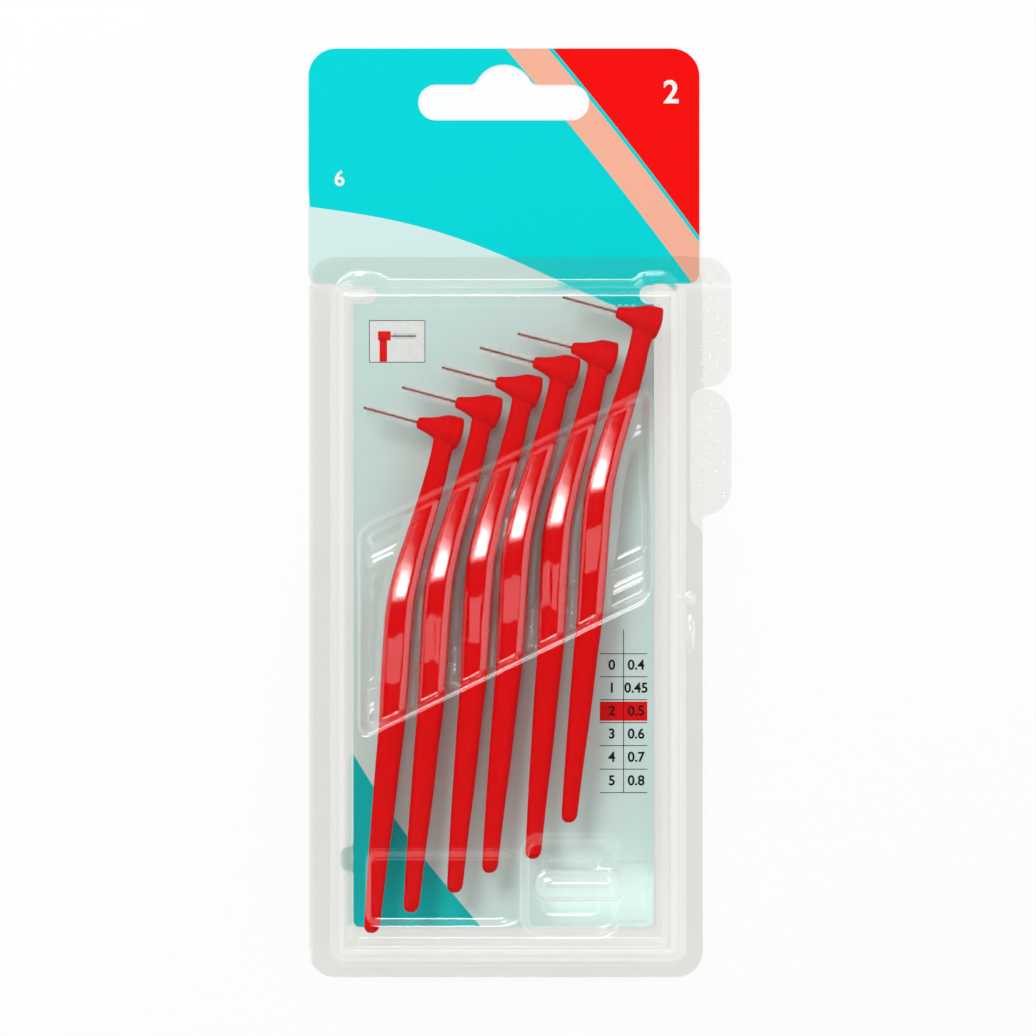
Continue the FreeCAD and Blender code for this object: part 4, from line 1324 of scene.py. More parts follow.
def dimple_tree(material: bpy.types.Material) -> bpy.types.NodeTree:
    """Geometry nodes that lay a checkerboard of dimples in the material.

    Args:
        material: the finish of the dimples.
    Returns:
        The tree, with its sizes as inputs.
    """
    tree, given = start_tree(
        "finger_dimples", Wide="Float", Tall="Float", Columns="Int", Rows="Int", Radius="Float",
        Stagger="Float",
    )
    grid = add_node(tree, "GeometryNodeMeshGrid", inputs={
        "Size X": given["Wide"], "Size Y": given["Tall"], "Vertices X": given["Columns"],
        "Vertices Y": given["Rows"],
    })
    # every other column is moved on by the stagger
    number = add_node(tree, "GeometryNodeInputIndex")
    column = add_node(tree, "ShaderNodeMath", {"operation": "DIVIDE"}, {
        0: number.outputs[0], 1: given["Rows"],
    })
    whole = add_node(tree, "ShaderNodeMath", {"operation": "FLOOR"}, {0: column.outputs[0]})
    odd = add_node(tree, "ShaderNodeMath", {"operation": "MODULO"}, {0: whole.outputs[0], 1: 2.0})
    shift = add_node(tree, "ShaderNodeMath", {"operation": "MULTIPLY"}, {
        0: odd.outputs[0], 1: given["Stagger"],
    })
    offset = add_node(tree, "ShaderNodeCombineXYZ", inputs={"Y": shift.outputs[0]})
    moved = add_node(tree, "GeometryNodeSetPosition", inputs={
        "Geometry": grid.outputs["Mesh"], "Offset": offset.outputs[0],
    })
    bead = add_node(tree, "GeometryNodeMeshUVSphere", inputs={
        "Segments": 12, "Rings": 8, "Radius": given["Radius"],
    })
    flat = add_node(tree, "GeometryNodeTransform", inputs={
        "Geometry": bead.outputs["Mesh"], "Scale": (1.0, 1.0, 0.55),
    })
    smooth = add_node(tree, "GeometryNodeSetShadeSmooth", inputs={"Geometry": flat.outputs[0]})
    laid = add_node(tree, "GeometryNodeInstanceOnPoints", inputs={
        "Points": moved.outputs[0], "Instance": smooth.outputs[0],
    })
    return end_tree(tree, laid.outputs[0], material)


def wire_tree(steel: bpy.types.Material) -> bpy.types.NodeTree:
    """Geometry nodes that twist two strands of wire along Z.

    Args:
        steel: the finish of the wire.
    Returns:
        The tree, with its sizes as inputs.
    """
    tree, given = start_tree("twisted_wire", Long="Float", Turns="Float", Strand="Float", Offset="Float")
    spiral = add_node(tree, "GeometryNodeCurveSpiral", inputs={
        "Resolution": 14, "Rotations": given["Turns"], "Start Radius": given["Offset"],
        "End Radius": given["Offset"], "Height": given["Long"],
    })
    ring = add_node(tree, "GeometryNodeCurvePrimitiveCircle", inputs={
        "Resolution": 7, "Radius": given["Strand"],
    })
    strand = add_node(tree, "GeometryNodeCurveToMesh", inputs={
        "Curve": spiral.outputs[0], "Profile Curve": ring.outputs[0], "Fill Caps": True,
    })
    other = add_node(tree, "GeometryNodeTransform", inputs={
        "Geometry": strand.outputs[0], "Rotation": (0.0, 0.0, math.pi),
    })
    both = add_node(tree, "GeometryNodeJoinGeometry")
    for half in (strand, other):
        tree.links.new(half.outputs[0], both.inputs[0])
    smooth = add_node(tree, "GeometryNodeSetShadeSmooth", inputs={"Geometry": both.outputs[0]})
    return end_tree(tree, smooth.outputs[0], steel)


def bristle_tree(nylon: bpy.types.Material) -> bpy.types.NodeTree:
    """Geometry nodes that hold filaments across a wire along Z, turned with its twist.

    Args:
        nylon: the finish of the filaments.
    Returns:
        The tree, with its sizes as inputs.
    """
    tree, given = start_tree(
        "filaments", Long="Float", Count="Int", Turn="Float", Reach="Float", Thin="Float",
    )
    end = add_node(tree, "ShaderNodeCombineXYZ", inputs={"Z": given["Long"]})
    line = add_node(tree, "GeometryNodeMeshLine", {"mode": "END_POINTS"}, {
        "Count": given["Count"], "Start Location": (0.0, 0.0, 0.0), "Offset": end.outputs[0],
    })
    number = add_node(tree, "GeometryNodeInputIndex")
    turned = add_node(tree, "ShaderNodeMath", {"operation": "MULTIPLY"}, {
        0: number.outputs[0], 1: given["Turn"],
    })
    stray, tip, size = (
        add_node(tree, "FunctionNodeRandomValue", inputs={2: least, 3: most, "Seed": seed}).outputs[1]
        for least, most, seed in ((-0.16, 0.16, 7), (-0.1, 0.1, 11), (0.88, 1.0, 3))
    )
    angle = add_node(tree, "ShaderNodeMath", {"operation": "ADD"}, {0: turned.outputs[0], 1: stray})
    turn = add_node(tree, "ShaderNodeCombineXYZ", inputs={"Y": tip, "Z": angle.outputs[0]})
    long = add_node(tree, "ShaderNodeMath", {"operation": "MULTIPLY"}, {0: given["Reach"], 1: 2.0})
    rod = add_node(tree, "GeometryNodeMeshCylinder", inputs={
        "Vertices": 5, "Radius": given["Thin"], "Depth": long.outputs[0],
    })
    across = add_node(tree, "GeometryNodeTransform", inputs={
        "Geometry": rod.outputs["Mesh"], "Rotation": (0.0, math.pi / 2, 0.0),
    })
    length = add_node(tree, "ShaderNodeCombineXYZ", inputs={"X": size, "Y": 1.0, "Z": 1.0})
    laid = add_node(tree, "GeometryNodeInstanceOnPoints", inputs={
        "Points": line.outputs[0], "Instance": across.outputs[0], "Rotation": turn.outputs[0],
        "Scale": length.outputs[0],
    })
    return end_tree(tree, laid.outputs[0], nylon)


# Finger dimples


@dataclass
class FingerDimples:
    """The grip pattern of one tab."""

    name: str
    body: str
    middle: tuple[float, float, float]
    columns: int
    rows: int
    pitch: float = 1.39
    radius: float = 0.38

    def build(self, tree: bpy.types.NodeTree) -> bpy.types.Object:
        """Lays the dimples and puts them on their body.

        Args:
            tree: the dimples' geometry tree.
        Returns:
            The piece.
        """
        thing = run_tree(self.name, tree, {
            "Wide": (self.columns - 1) * self.pitch * MM, "Tall": (self.rows - 1) * 2 * self.pitch * MM,
            "Columns": self.columns, "Rows": self.rows, "Radius": self.radius * MM,
            "Stagger": self.pitch * MM,
        })
        thing.data.transform(Matrix.Translation(Vector(self.middle) * MM))
        return seat(thing, self.body, "clear_film")


# Header card


@dataclass
class Slabs:
    """Thin slabs of ink on the board, which become one piece."""

    verts: list = field(default_factory=list)
    faces: list = field(default_factory=list)
    half_thick: float = 0.02

    def add(self, left: float, right: float, low: float, high: float, level: float) -> None:
        """Adds one slab about its level.

        Args:
            left: its left side.
            right: its right side.
            low: its lower side.
            high: its upper side.
            level: the height of its middle.
        """
        at = len(self.verts)
        for z in (level - self.half_thick, level + self.half_thick):
            self.verts.extend([(left, low, z), (right, low, z), (right, high, z), (left, high, z)])
        for face in ((3, 2, 1, 0), (4, 5, 6, 7), (0, 1, 5, 4), (1, 2, 6, 5), (2, 3, 7, 6), (3, 0, 4, 7)):
            self.faces.append(tuple(at + corner for corner in face))

    def piece(self, name: str, ink: bpy.types.Material) -> bpy.types.Object:
        """Makes one piece of the slabs, in their ink."""
        return make_object(name, np.array(self.verts), self.faces, ink)


def even_out(shape: bmesh.types.BMesh) -> None:
    """Merges the small faces of a flat sheet and cuts them into triangles."""
    bmesh.ops.dissolve_limit(
        shape, angle_limit=math.radians(0.5), verts=shape.verts[:], edges=shape.edges[:],
    )
    bmesh.ops.triangulate(shape, faces=shape.faces[:])


@dataclass
class HeaderCard:
    """The printed card with its hanging slot, perforation and size table."""

    left: float = -39.6
    right: float = 33.6
    high: float = 86.95
    foot: float = 42.95
    corner: float = 5.2
    foot_corner: float = 2.1
    inner_left: float = -31.2
    inner_right: float = 25.1
    inner_low: float = -77.55
    inner_corner: float = 1.2
    under: float = 0.35
    thick: float = 0.4
    slot_x: float = -3.05
    slot_y: float = 76.85
    slot_wide: float = 32.0
    slot_tall: float = 6.7
    hump_radius: float = 5.6
    hump_rise: float = 1.5
    notch_high: float = 42.6
    notch_tall: float = 3.5
    notch_left: float = -26.9
    notch_right: float = 22.4
    nub_out: float = 0.9
    nub_y: float = -64.8
    nub_flat: float = 0.75
    nub_radius: float = 1.7
    table_rows: tuple[float, ...] = (-26.4, -30.7, -35.0, -39.3, -43.6, -48.0, -52.4)
    table_left: float = 14.95
    table_middle: float = 19.4
    table_right: float = 23.85
    sizes_shown: tuple = (
        ("0", "0.4"), ("1", "0.45"), ("2", "0.5"), ("3", "0.6"), ("4", "0.7"), ("5", "0.8"),
    )
    marked_row: int = 2
    sign: tuple[float, float, float, float] = (-28.2, -17.8, 28.2, 36.0)
    sign_marks: tuple = ((-26.6, -24.2, 32.3, 34.0), (-26.3, -24.9, 28.3, 32.5))
    table_line: float = 0.07
    sign_line: float = 0.06
    number_x: tuple[float, float] = (17.2, 21.75)
    number_size: float = 2.6
    plain_signs: tuple = (("2", 28.3, 78.6, 6.0), ("6", -33.8, 62.5, 4.0))
    tear: tuple[float, float] = (38.78, 38.95)
    dash: tuple[float, float] = (0.75, 1.25)

    @property
    def top(self) -> float:
        """The level of the printed face."""
        return self.under + self.thick

    def outline(self, x: np.ndarray, y: np.ndarray) -> np.ndarray:
        """Signed distance to the card's edge.

        Args:
            x: places across.
            y: places up.
        Returns:
            The distance at each place, below nought inside.
        """
        header = np.maximum(
            box_distance(x, y, self.left, self.right, self.foot, self.high + 20, self.foot_corner),
            box_distance(x, y, self.left, self.right, self.foot - 20, self.high, self.corner),
        )
        inner = box_distance(
            x, y, self.inner_left, self.inner_right, self.inner_low, self.foot + 15, self.inner_corner,
        )
        card = np.minimum(header, inner)
        low = self.notch_high - self.notch_tall
        for start, end in ((self.inner_left - 9, self.notch_left), (self.notch_right, self.inner_right + 9)):
            notch = box_distance(x, y, start, end, low, self.notch_high, self.notch_tall * 0.49)
            card = np.maximum(card, -notch)
        nub = np.hypot(x - self.inner_left + self.nub_out, (y - self.nub_y) * self.nub_flat)
        card = np.minimum(card, nub - self.nub_radius)
        slot = box_distance(
            x, y, self.slot_x - self.slot_wide / 2, self.slot_x + self.slot_wide / 2,
            self.slot_y - self.slot_tall / 2, self.slot_y + self.slot_tall / 2, self.slot_tall * 0.49,
        )
        hump = np.hypot(x - self.slot_x, y - self.slot_y - self.hump_rise) - self.hump_radius
        hump = np.maximum(hump, self.slot_y - y)
        return np.maximum(card, -soft_low(slot, hump, 1.0))

    def sheet(self, board: bpy.types.Material) -> bpy.types.Object:
        """Cuts the board to its outline.

        Args:
            board: the finish of the board.
        Returns:
            The board's object.
        """
        columns = spread_lines((-39.9, -27.0, 0.45), (-27.0, 22.0, 0.5), (22.0, 33.9, 0.45))
        rows = spread_lines(
            (-77.9, -75.5, 0.4), (-75.5, -67.5, 2.0), (-67.5, -62.0, 0.4), (-62.0, 37.8, 3.0),
            (37.8, 46.0, 0.35), (46.0, 70.0, 3.0), (70.0, 87.3, 0.4),
        )
        x, y, faces = fit_grid(*np.meshgrid(columns, rows), self.outline, 4)
        verts = np.stack([x, y, np.full_like(x, self.top)], -1).reshape(-1, 3)
        card = make_object("header_board", verts, faces, board)
        edit_mesh(card, drop_strays, even_out)
        return thicken(card, self.thick)

    def lines(self, ink: bpy.types.Material) -> bpy.types.Object:
        """Prints the lines of the table, and the sign's frame with a wire and its filaments.

        Args:
            ink: the ink.
        Returns:
            The piece.
        """
        slabs, half, rows = Slabs(), self.table_line, self.table_rows
        for y in rows:
            slabs.add(self.table_left, self.table_right, y - half, y + half, self.top)
        slabs.add(self.table_middle - half, self.table_middle + half, rows[-1], rows[0] + 4.5, self.top)
        left, right, low, high = self.sign
        half = self.sign_line
        for x in (left, right):
            slabs.add(x - half, x + half, low, high, self.top + 0.01)
        for y in (low, high):
            slabs.add(left, right, y - half, y + half, self.top + 0.01)
        middle = (low + high) / 2 + 1.0
        slabs.add(left + 4.0, right - 1.6, middle - 0.1, middle + 0.1, self.top + 0.02)
        for x in np.arange(left + 4.5, right - 1.6, 0.4):
            slabs.add(x - 0.03, x + 0.03, middle - 0.55, middle + 0.55, self.top + 0.02)
        return slabs.piece("printed_lines", ink)

    def marks(self, ink: bpy.types.Material) -> bpy.types.Object:
        """Prints the marked row of the table and the handle of the sign's brush.

        Args:
            ink: the ink.
        Returns:
            The piece.
        """
        slabs = Slabs()
        low, high = self.table_rows[self.marked_row + 1], self.table_rows[self.marked_row]
        slabs.add(self.table_left, self.table_right, low + 0.35, high - 0.35, self.top - 0.01)
        for mark in self.sign_marks:
            slabs.add(*mark, self.top + 0.02)
        return slabs.piece("printed_marks", ink)

    def ground(self, ink: bpy.types.Material) -> bpy.types.Object:
        """Prints the pale ground of the sign.

        Args:
            ink: the ink.
        Returns:
            The piece.
        """
        slabs = Slabs()
        slabs.add(*self.sign, self.top - 0.005)
        return slabs.piece("sign_ground", ink)

    def tear_line(self, ink: bpy.types.Material) -> bpy.types.Object:
        """The dashed tear line where the header meets the case.

        Args:
            ink: the ink.
        Returns:
            The piece.
        """
        slabs = Slabs()
        long, step = self.dash
        x = self.notch_left + 0.2
        while x < self.notch_right - 0.6:
            slabs.add(x, x + long, *self.tear, self.top)
            x += step
        return slabs.piece("tear_line", ink)

    def table_words(self) -> list[tuple[str, float, float, float]]:
        """The numbers of the table: text, middle and size of each.

        Returns:
            One row for each number.
        """
        rows = self.table_rows
        return [
            (text, x, (rows[row] + rows[row + 1]) / 2, self.number_size)
            for row, pair in enumerate(self.sizes_shown) for text, x in zip(pair, self.number_x)
        ]

    def numbers(self, name: str, words: list, ink: bpy.types.Material) -> bpy.types.Object:
        """Prints numbers as one mesh.

        Args:
            name: the piece's name.
            words: text, middle and size of each number.
            ink: their ink.
        Returns:
            The piece.
        """
        numbers = [self.number(*word) for word in words]
        bpy.context.view_layer.update()
        piece = place_new(name, bpy.data.meshes.new(name))
        shape = bmesh.new()
        for number in numbers:
            mesh = bpy.data.meshes.new_from_object(number)
            mesh.transform(number.matrix_world)
            shape.from_mesh(mesh)
            bpy.data.objects.remove(number)
        shape.to_mesh(piece.data)
        shape.free()
        piece.data.materials.clear()
        piece.data.materials.append(ink)
        return piece

    def number(self, text: str, x: float, y: float, size: float) -> bpy.types.Object:
        """Sets one number as bold type.

        Args:
            text: its digits.
            x: its middle across.
            y: its middle up.
            size: the size of the type.
        Returns:
            The text's object.
        """
        curve = bpy.data.curves.new("number", "FONT")
        curve.body = text
        curve.size = size * MM
        curve.offset = 0.02 * size * MM
        curve.extrude = 0.02 * MM
        curve.align_x, curve.align_y = "CENTER", "CENTER"
        number = place_new("number", curve)
        number.location = Vector((x, y, self.top + 0.03)) * MM
        return number

    def build(self) -> None:
        """Builds the card and what is printed on it."""
        seat(self.sheet(PrintedBoard().build()), "back", "printed_card", "header_card")
        dark = PlainInk("dark_process_ink", "0E1618").build()
        red = PlainInk("red_process_ink", "F2000A").build()
        white = PlainInk("bare_board_edge", "F6FAF9").build()
        for piece in (
            self.ground(white), self.numbers("plain_signs", self.plain_signs, white), self.lines(dark),
            self.marks(red), self.numbers("table_numbers", self.table_words(), dark), self.tear_line(white),
        ):
            seat(piece, "back", "printed_card")


# Brushes


def skin(rings: list[list[int]]) -> list[tuple[int, ...]]:
    """Faces between rings of points, where a ring of one point closes an end.

    Args:
        rings: the numbers of the points of each ring, in order.
    Returns:
        The corner numbers of each face.
    """
    faces = []
    for first, second in zip(rings, rings[1:]):
        count = max(len(first), len(second))
        for step in range(count):
            after = (step + 1) % count
            if len(first) == 1:
                faces.append((first[0], second[after], second[step]))
            elif len(second) == 1:
                faces.append((first[step], first[after], second[0]))
            else:
                faces.append((first[step], first[after], second[after], second[step]))
    return faces


@dataclass
class AngledBrush:
    """One brush drawn round the point where its wire enters the head."""

    head_long: float = 8.8
    head_radius: float = 3.0
    body_outline: tuple = (
        (0.0, 0.0), (0.0, 0.26), (0.01, 0.3), (0.03, 0.35), (0.06, 0.38), (0.25, 0.52), (0.4, 0.67),
        (0.52, 0.85), (0.6, 0.955), (0.66, 0.985), (0.76, 0.985), (0.76, 0.0),
    )
    rim_outline: tuple = (
        (0.68, 0.0), (0.68, 0.95), (0.7, 0.99), (0.765, 1.0), (0.772, 0.99), (0.778, 0.985), (0.785, 0.99),
        (0.792, 1.0), (0.9, 1.0), (0.925, 0.985), (0.943, 0.95), (0.956, 0.88), (0.965, 0.8), (0.985, 0.5),
        (0.998, 0.2), (1.0, 0.1), (1.0, 0.0),
    )
    anchor: float = 4.0
    wire_out: float = 10.4
    coat_radius: float = 0.25
    strand: float = 0.125
    twist: float = 0.62
    bare: float = 0.5
    reach: float = 1.2
    filament: float = 0.06
    filaments: int = 96
    voxel: float = 0.2
    corner_share: float = 0.42
    section_points: int = 32

    def section(self, down: float, across: float, wide: float, thick: float) -> np.ndarray:
        """The points of one handle section, round its corners.

        Args:
            down: place along the brush, as a share of its length.
            across: its middle, as a share of the lean.
            wide: share of the full width.
            thick: share of the full thickness.
        Returns:
            The points, one row each.
        """
        a, b = wide * BRUSH.wide / 2, thick * BRUSH.thick / 2
        corner = self.corner_share * 2 * min(a, b)
        points = []
        per_corner = self.section_points // 4
        for quarter, (sx, sz) in enumerate(((1, 1), (-1, 1), (-1, -1), (1, -1))):
            for step in range(per_corner):
                turn = (quarter + step / (per_corner - 1)) * math.pi / 2
                points.append((
                    across * BRUSH.lean + sx * (a - corner) + corner * math.cos(turn),
                    -down * BRUSH.long,
                    sz * (b - corner) + corner * math.sin(turn),
                ))
        return np.array(points)

    def stem(self) -> tuple[np.ndarray, list]:
        """The neck, grip and tail as one tube of sections.

        Returns:
            Its points and the corner numbers of each face.
        """
        table = np.array(BRUSH.sections)
        downs = np.concatenate([
            np.linspace(0.012, 0.07, 12), np.linspace(0.08, 0.98, 60), [0.985, 0.99, 0.994, 0.997, 0.999],
        ])
        rings = []
        for down in downs:
            across, wide, thick = (self.smooth(table, down, column) for column in (1, 2, 3))
            past = max(0.0, (down - 0.984) / 0.0158)
            shrink = math.sqrt(max(0.0, 1.0 - past * past))
            rings.append(self.section(down, across, wide * shrink, thick * shrink))
        verts = np.concatenate(rings + [rings[0].mean(0)[None], rings[-1].mean(0)[None]])
        numbers = np.arange(len(verts) - 2).reshape(len(rings), -1).tolist()
        return verts, skin([[len(verts) - 2]] + numbers + [[len(verts) - 1]])

    @staticmethod
    def smooth(table: np.ndarray, down: float, column: int) -> float:
        """Reads a column of the sections along a smooth curve.

        Args:
            table: the sections.
            down: place along the brush.
            column: which column.
        Returns:
            The value there.
        """
        places, values = table[:, 0], table[:, column]
        slopes = np.gradient(values, places)
        step = int(np.clip(np.searchsorted(places, down) - 1, 0, len(places) - 2))
        span = places[step + 1] - places[step]
        t = (down - places[step]) / span
        t = min(max(t, -0.5), 1.2)
        return float(
            values[step] * (1 + 2 * t) * (1 - t) ** 2 + slopes[step] * span * t * (1 - t) ** 2
            + values[step + 1] * t * t * (3 - 2 * t) - slopes[step + 1] * span * t * t * (1 - t)
        )

    def lathe(self, outline: tuple, segments: int = 72) -> tuple[np.ndarray, list]:
        """Turns an outline about the wire's axis.

        Args:
            outline: shares of the head's length and radius, in order.
            segments: points in each ring.
        Returns:
            The points and the corner numbers of each face.
        """
        verts, rings = [], []
        turn = Matrix.Rotation(math.radians(BRUSH.turn), 3, "Z")
        for along, out in outline:
            count = segments if out else 1
            rings.append(list(range(len(verts), len(verts) + count)))
            radius = out * self.head_radius
            for step in range(count):
                angle = 2 * math.pi * step / segments
                verts.append(turn @ Vector((
                    along * self.head_long, radius * math.cos(angle), radius * math.sin(angle),
                )))
        return np.array(verts), skin(rings)

    def handle(self, plastic: bpy.types.Material) -> bpy.types.Object:
        """The moulded handle: neck and head grown into each other, with the head's rear rim.

        Args:
            plastic: its finish.
        Returns:
            The form, at the brush's own origin.
        """
        verts, faces = self.stem()
        head, head_faces = self.lathe(self.body_outline)
        faces += [tuple(corner + len(verts) for corner in face) for face in head_faces]
        thing = make_object("handle_form", np.concatenate([verts, head]), faces, plastic)
        edit_mesh(thing, face_out)
        grown = thing.modifiers.new("grown", "REMESH")
        grown.mode = "VOXEL"
        grown.voxel_size = self.voxel * MM
        soft = thing.modifiers.new("soft", "SMOOTH")
        soft.factor = 0.5
        soft.iterations = 7
        bake_modifiers(thing)
        ring = make_object("rim_form", *self.lathe(self.rim_outline, 96), plastic)
        edit_mesh(ring, face_out)
        edit_mesh(thing, lambda shape: shape.from_mesh(ring.data))
        bpy.data.objects.remove(ring)
        shade_smooth(thing, 40.0)
        return thing

    def coat(self, coating: bpy.types.Material) -> bpy.types.Object:
        """The coating: a thin tube closed round at the wire's tip.

        Args:
            coating: its finish.
        Returns:
            The form, at the brush's own origin.
        """
        radius = self.coat_radius
        tip = -self.wire_out / self.head_long
        outline = [(tip, 0.0)]
        for step in range(1, 7):
            turn = math.pi / 2 * step / 6
            outline.append((
                tip + radius * (1 - math.cos(turn)) / self.head_long,
                radius * math.sin(turn) / self.head_radius,
            ))
        outline += [(-0.3, radius / self.head_radius), (0.4, radius / self.head_radius), (0.4, 0.0)]
        thing = make_object("coat_form", *self.lathe(tuple(outline), 20), coating)
        edit_mesh(thing, face_out)
        shade_smooth(thing, 40.0)
        return thing

    def along_wire(self, thing: bpy.types.Object, start: float) -> bpy.types.Object:
        """Turns a piece drawn along Z to run along the wire from a place on it.

        Args:
            thing: the object.
            start: where on the wire it begins.
        Returns:
            The same object.
        """
        lay = Matrix.Rotation(math.radians(BRUSH.turn), 4, "Z") @ Matrix.Translation((start * MM, 0.0, 0.0))
        thing.data.transform(lay @ Euler((0.0, math.pi / 2, 0.0)).to_matrix().to_4x4())
        return thing

    def wire(self, tree: bpy.types.NodeTree) -> bpy.types.Object:
        """The twisted core.

        Args:
            tree: the wire's geometry tree.
        Returns:
            The form, at the brush's own origin.
        """
        long = self.wire_out - 0.2 + self.anchor
        thing = run_tree("wire_form", tree, {
            "Long": long * MM, "Turns": long / self.twist, "Strand": self.strand * MM,
            "Offset": self.strand * MM,
        })
        return self.along_wire(thing, 0.2 - self.wire_out)

    def bristles(self, tree: bpy.types.NodeTree) -> bpy.types.Object:
        """The filaments between the bare ends of the wire.

        Args:
            tree: the filaments' geometry tree.
        Returns:
            The form, at the brush's own origin.
        """
        long = self.wire_out - 2 * self.bare
        thing = run_tree("bristle_form", tree, {
            "Long": long * MM, "Count": self.filaments, "Reach": self.reach * MM, "Thin": self.filament * MM,
            "Turn": 2 * math.pi * long / self.twist / self.filaments,
        })
        return self.along_wire(thing, self.bare - self.wire_out)

    def build(self) -> None:
        """Builds the forms once and puts a copy at each brush's place."""
        forms = {
            "handle": (self.handle(MouldedPlastic().build()), "red_plastic"),
            "wire_core": (self.wire(wire_tree(TwistedSteel().build())), "steel_wire"),
            "wire_coat": (self.coat(TintedCoat().build()), "wire_coating"),
            "bristles": (self.bristles(bristle_tree(NylonFilament().build())), "nylon_filament"),
        }
        for index in range(len(BRUSH.steps)):
            number = index + 1
            for word, (form, slot) in forms.items():
                mesh = form.data.copy()
                mesh.transform(BRUSH.place(index))
                piece = place_new(f"{word}_piece_{number}", mesh)
                seat(piece, f"brush_{number}", slot, f"{word}_{number}")
        for form, _ in forms.values():
            bpy.data.objects.remove(form)


# Cap


@dataclass
class ProtectiveCap:
    """The loose cap, on the solid's own form."""

    node: str = "protective_cap"

    def build(self) -> None:
        """Copies the solid's mesh; the cap's thin clear wall throws no shadow worth drawing."""
        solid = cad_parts[self.node]
        mesh = solid.data.copy()
        mesh.transform(solid.matrix_world)
        mesh.materials.clear()
        mesh.materials.append(MilkyClear().build())
        piece = place_new("cap_piece", mesh)
        piece.visible_shadow = False
        seat(piece, "cap", "clear_cap", self.node)


# Studio


@dataclass
class Lamp:
    """One lamp: the way to it from the pack, how far and how large it is in metres, and how bright."""

    name: str
    way: tuple[float, float, float]
    far: float
    size: tuple[float, float]
    bright: float

    def hang(self) -> None:
        """Hangs the lamp, turned to the pack, with the power that gives its brightness."""
        data = bpy.data.lights.new(self.name, "AREA")
        data.shape = "RECTANGLE"
        data.size, data.size_y = self.size
        data.energy = math.pi * self.size[0] * self.size[1] * self.bright
        thing = place_new(self.name, data)
        thing.location = Vector(self.way).normalized() * self.far
        thing.rotation_euler = (-Vector(self.way)).to_track_quat("-Z", "Y").to_euler()


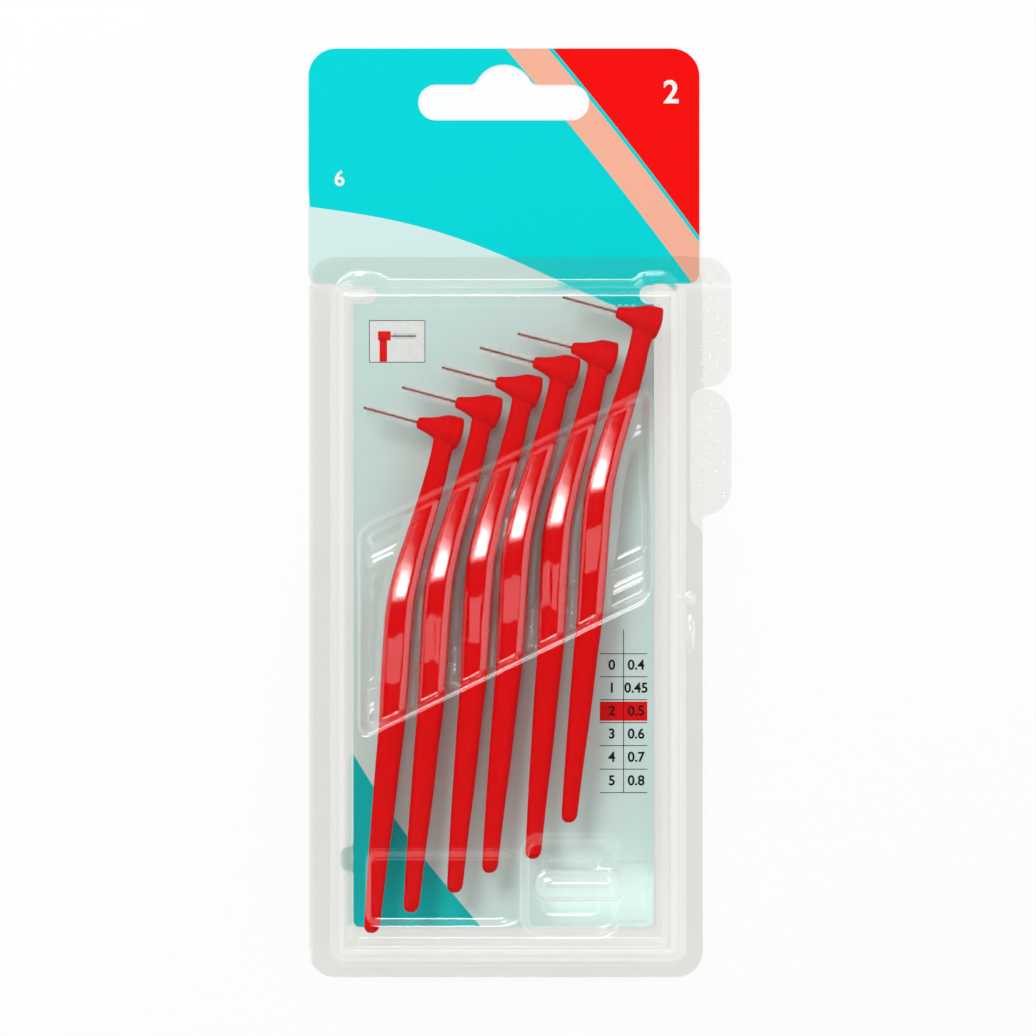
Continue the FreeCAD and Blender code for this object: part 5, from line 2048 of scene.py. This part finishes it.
@dataclass
class Studio:
    """Pale floor, white surroundings with the dark camera side overhead, and soft lamps."""

    frame_wide: float = 193.6
    look: tuple[float, float] = (-0.37, -0.97)
    far: float = 2000.0
    level: float = 5.0
    floor_side: float = 3000.0
    floor_level: float = -0.02
    diffuse_level: float = 0.5
    dark_reach: tuple[float, float] = (0.3, 0.36)
    dark_level: float = 0.02
    lamps: tuple[Lamp, ...] = field(default_factory=lambda: (
        Lamp("wide_key", (-0.35, 0.45, 0.82), 1.2, (0.55, 0.42), 8.4),
        Lamp("side_fill", (0.6, -0.15, 0.78), 1.2, (1.0, 1.0), 0.62),
        Lamp("small_head", (-0.03, 0.17, 0.985), 6.0, (0.48, 0.5), 19.0),
        Lamp("head_glow", (-0.03, 0.17, 0.985), 6.0, (0.92, 0.92), 5.0),
        Lamp("head_haze", (-0.03, 0.17, 0.985), 6.0, (1.35, 1.35), 1.5),
        Lamp("low_card", (0.0, -0.115, 0.993), 6.0, (1.7, 0.52), 1.15),
    ))

    def camera(self) -> None:
        """Sets the camera straight above, as in the photograph."""
        data = bpy.data.cameras.new("camera")
        data.sensor_width = 36.0
        data.lens = 36.0 * (self.far - self.level) / self.frame_wide
        data.clip_end = 20.0
        view = place_new("camera", data)
        view.location = (self.look[0] * MM, self.look[1] * MM, self.far * MM)
        bpy.context.scene.camera = view

    def world(self) -> None:
        """White surroundings, dark overhead at the camera's side; what lights matt things is weaker."""
        world = bpy.data.worlds.new("studio")
        world.use_nodes = True
        tree = world.node_tree
        tree.nodes.clear()
        white = seen_ways(tree, add_node(tree, "ShaderNodeLightPath"))
        place = add_node(tree, "ShaderNodeTexCoord")
        centred = add_node(tree, "ShaderNodeMapping", inputs={
            "Vector": place.outputs["Generated"], "Location": (0.0, 0.0, -1.0),
        })
        reach = add_node(tree, "ShaderNodeVectorMath", {"operation": "LENGTH"}, {0: centred.outputs[0]})
        overhead = add_node(tree, "ShaderNodeMapRange", {"interpolation_type": "SMOOTHSTEP"}, {
            0: reach.outputs["Value"], 1: self.dark_reach[0], 2: self.dark_reach[1],
            3: self.dark_level, 4: 1.0,
        })
        strength = add_node(tree, "ShaderNodeMapRange", inputs={0: white, 3: self.diffuse_level, 4: 1.0})
        level = add_node(tree, "ShaderNodeMath", {"operation": "MULTIPLY"}, {
            0: strength.outputs[0], 1: overhead.outputs[0],
        })
        light = add_node(tree, "ShaderNodeBackground", inputs={
            "Color": linear("FFFFFF"), "Strength": level.outputs[0],
        })
        add_node(tree, "ShaderNodeOutputWorld", inputs={"Surface": light.outputs[0]})
        bpy.context.scene.world = world

    def floor(self) -> None:
        """A pale floor that reads white to the camera and keeps the pack's shadow."""
        side = self.floor_side
        verts = [(x * side, y * side, self.floor_level) for x, y in ((-1, -1), (1, -1), (1, 1), (-1, 1))]
        make_object("floor", np.array(verts), [(0, 1, 2, 3)], StudioPaper().build())

    def build(self) -> None:
        """Sets up the whole studio."""
        self.camera()
        self.world()
        self.floor()
        for lamp in self.lamps:
            lamp.hang()
        bpy.context.scene.view_settings.view_transform = "Standard"


# Main


def main() -> None:
    """Builds the studio and every piece."""
    logging.basicConfig(level=logging.INFO, format="%(message)s")
    Studio().build()
    film = ClearSheet().build()
    front = FrontSheet("front_film", FRONT_COLUMNS, FRONT_ROWS, film).build()
    seat(front, "lid", "clear_film", "front_shell")
    back = BackSheet("back_film", BACK_COLUMNS, BACK_ROWS, film).build()
    seat(back, "back", "clear_film", "back_shell")
    dimples = dimple_tree(MilkyClear("stretched_pet_dimples", "FFFFFF", 0.1, 0.3).build())
    FingerDimples("upper_tab_dimples", "lid", (36.2, 35.0, 0.9), 4, 8).build(dimples)
    FingerDimples("lower_tab_dimples", "back", (36.2, 10.6, 0.2), 4, 7).build(dimples)
    HeaderCard().build()
    AngledBrush().build()
    ProtectiveCap().build()
    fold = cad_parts["hinge_fold"]
    fold.data.materials.clear()
    fold.data.materials.append(film)


if __name__ == "__main__":
    main()
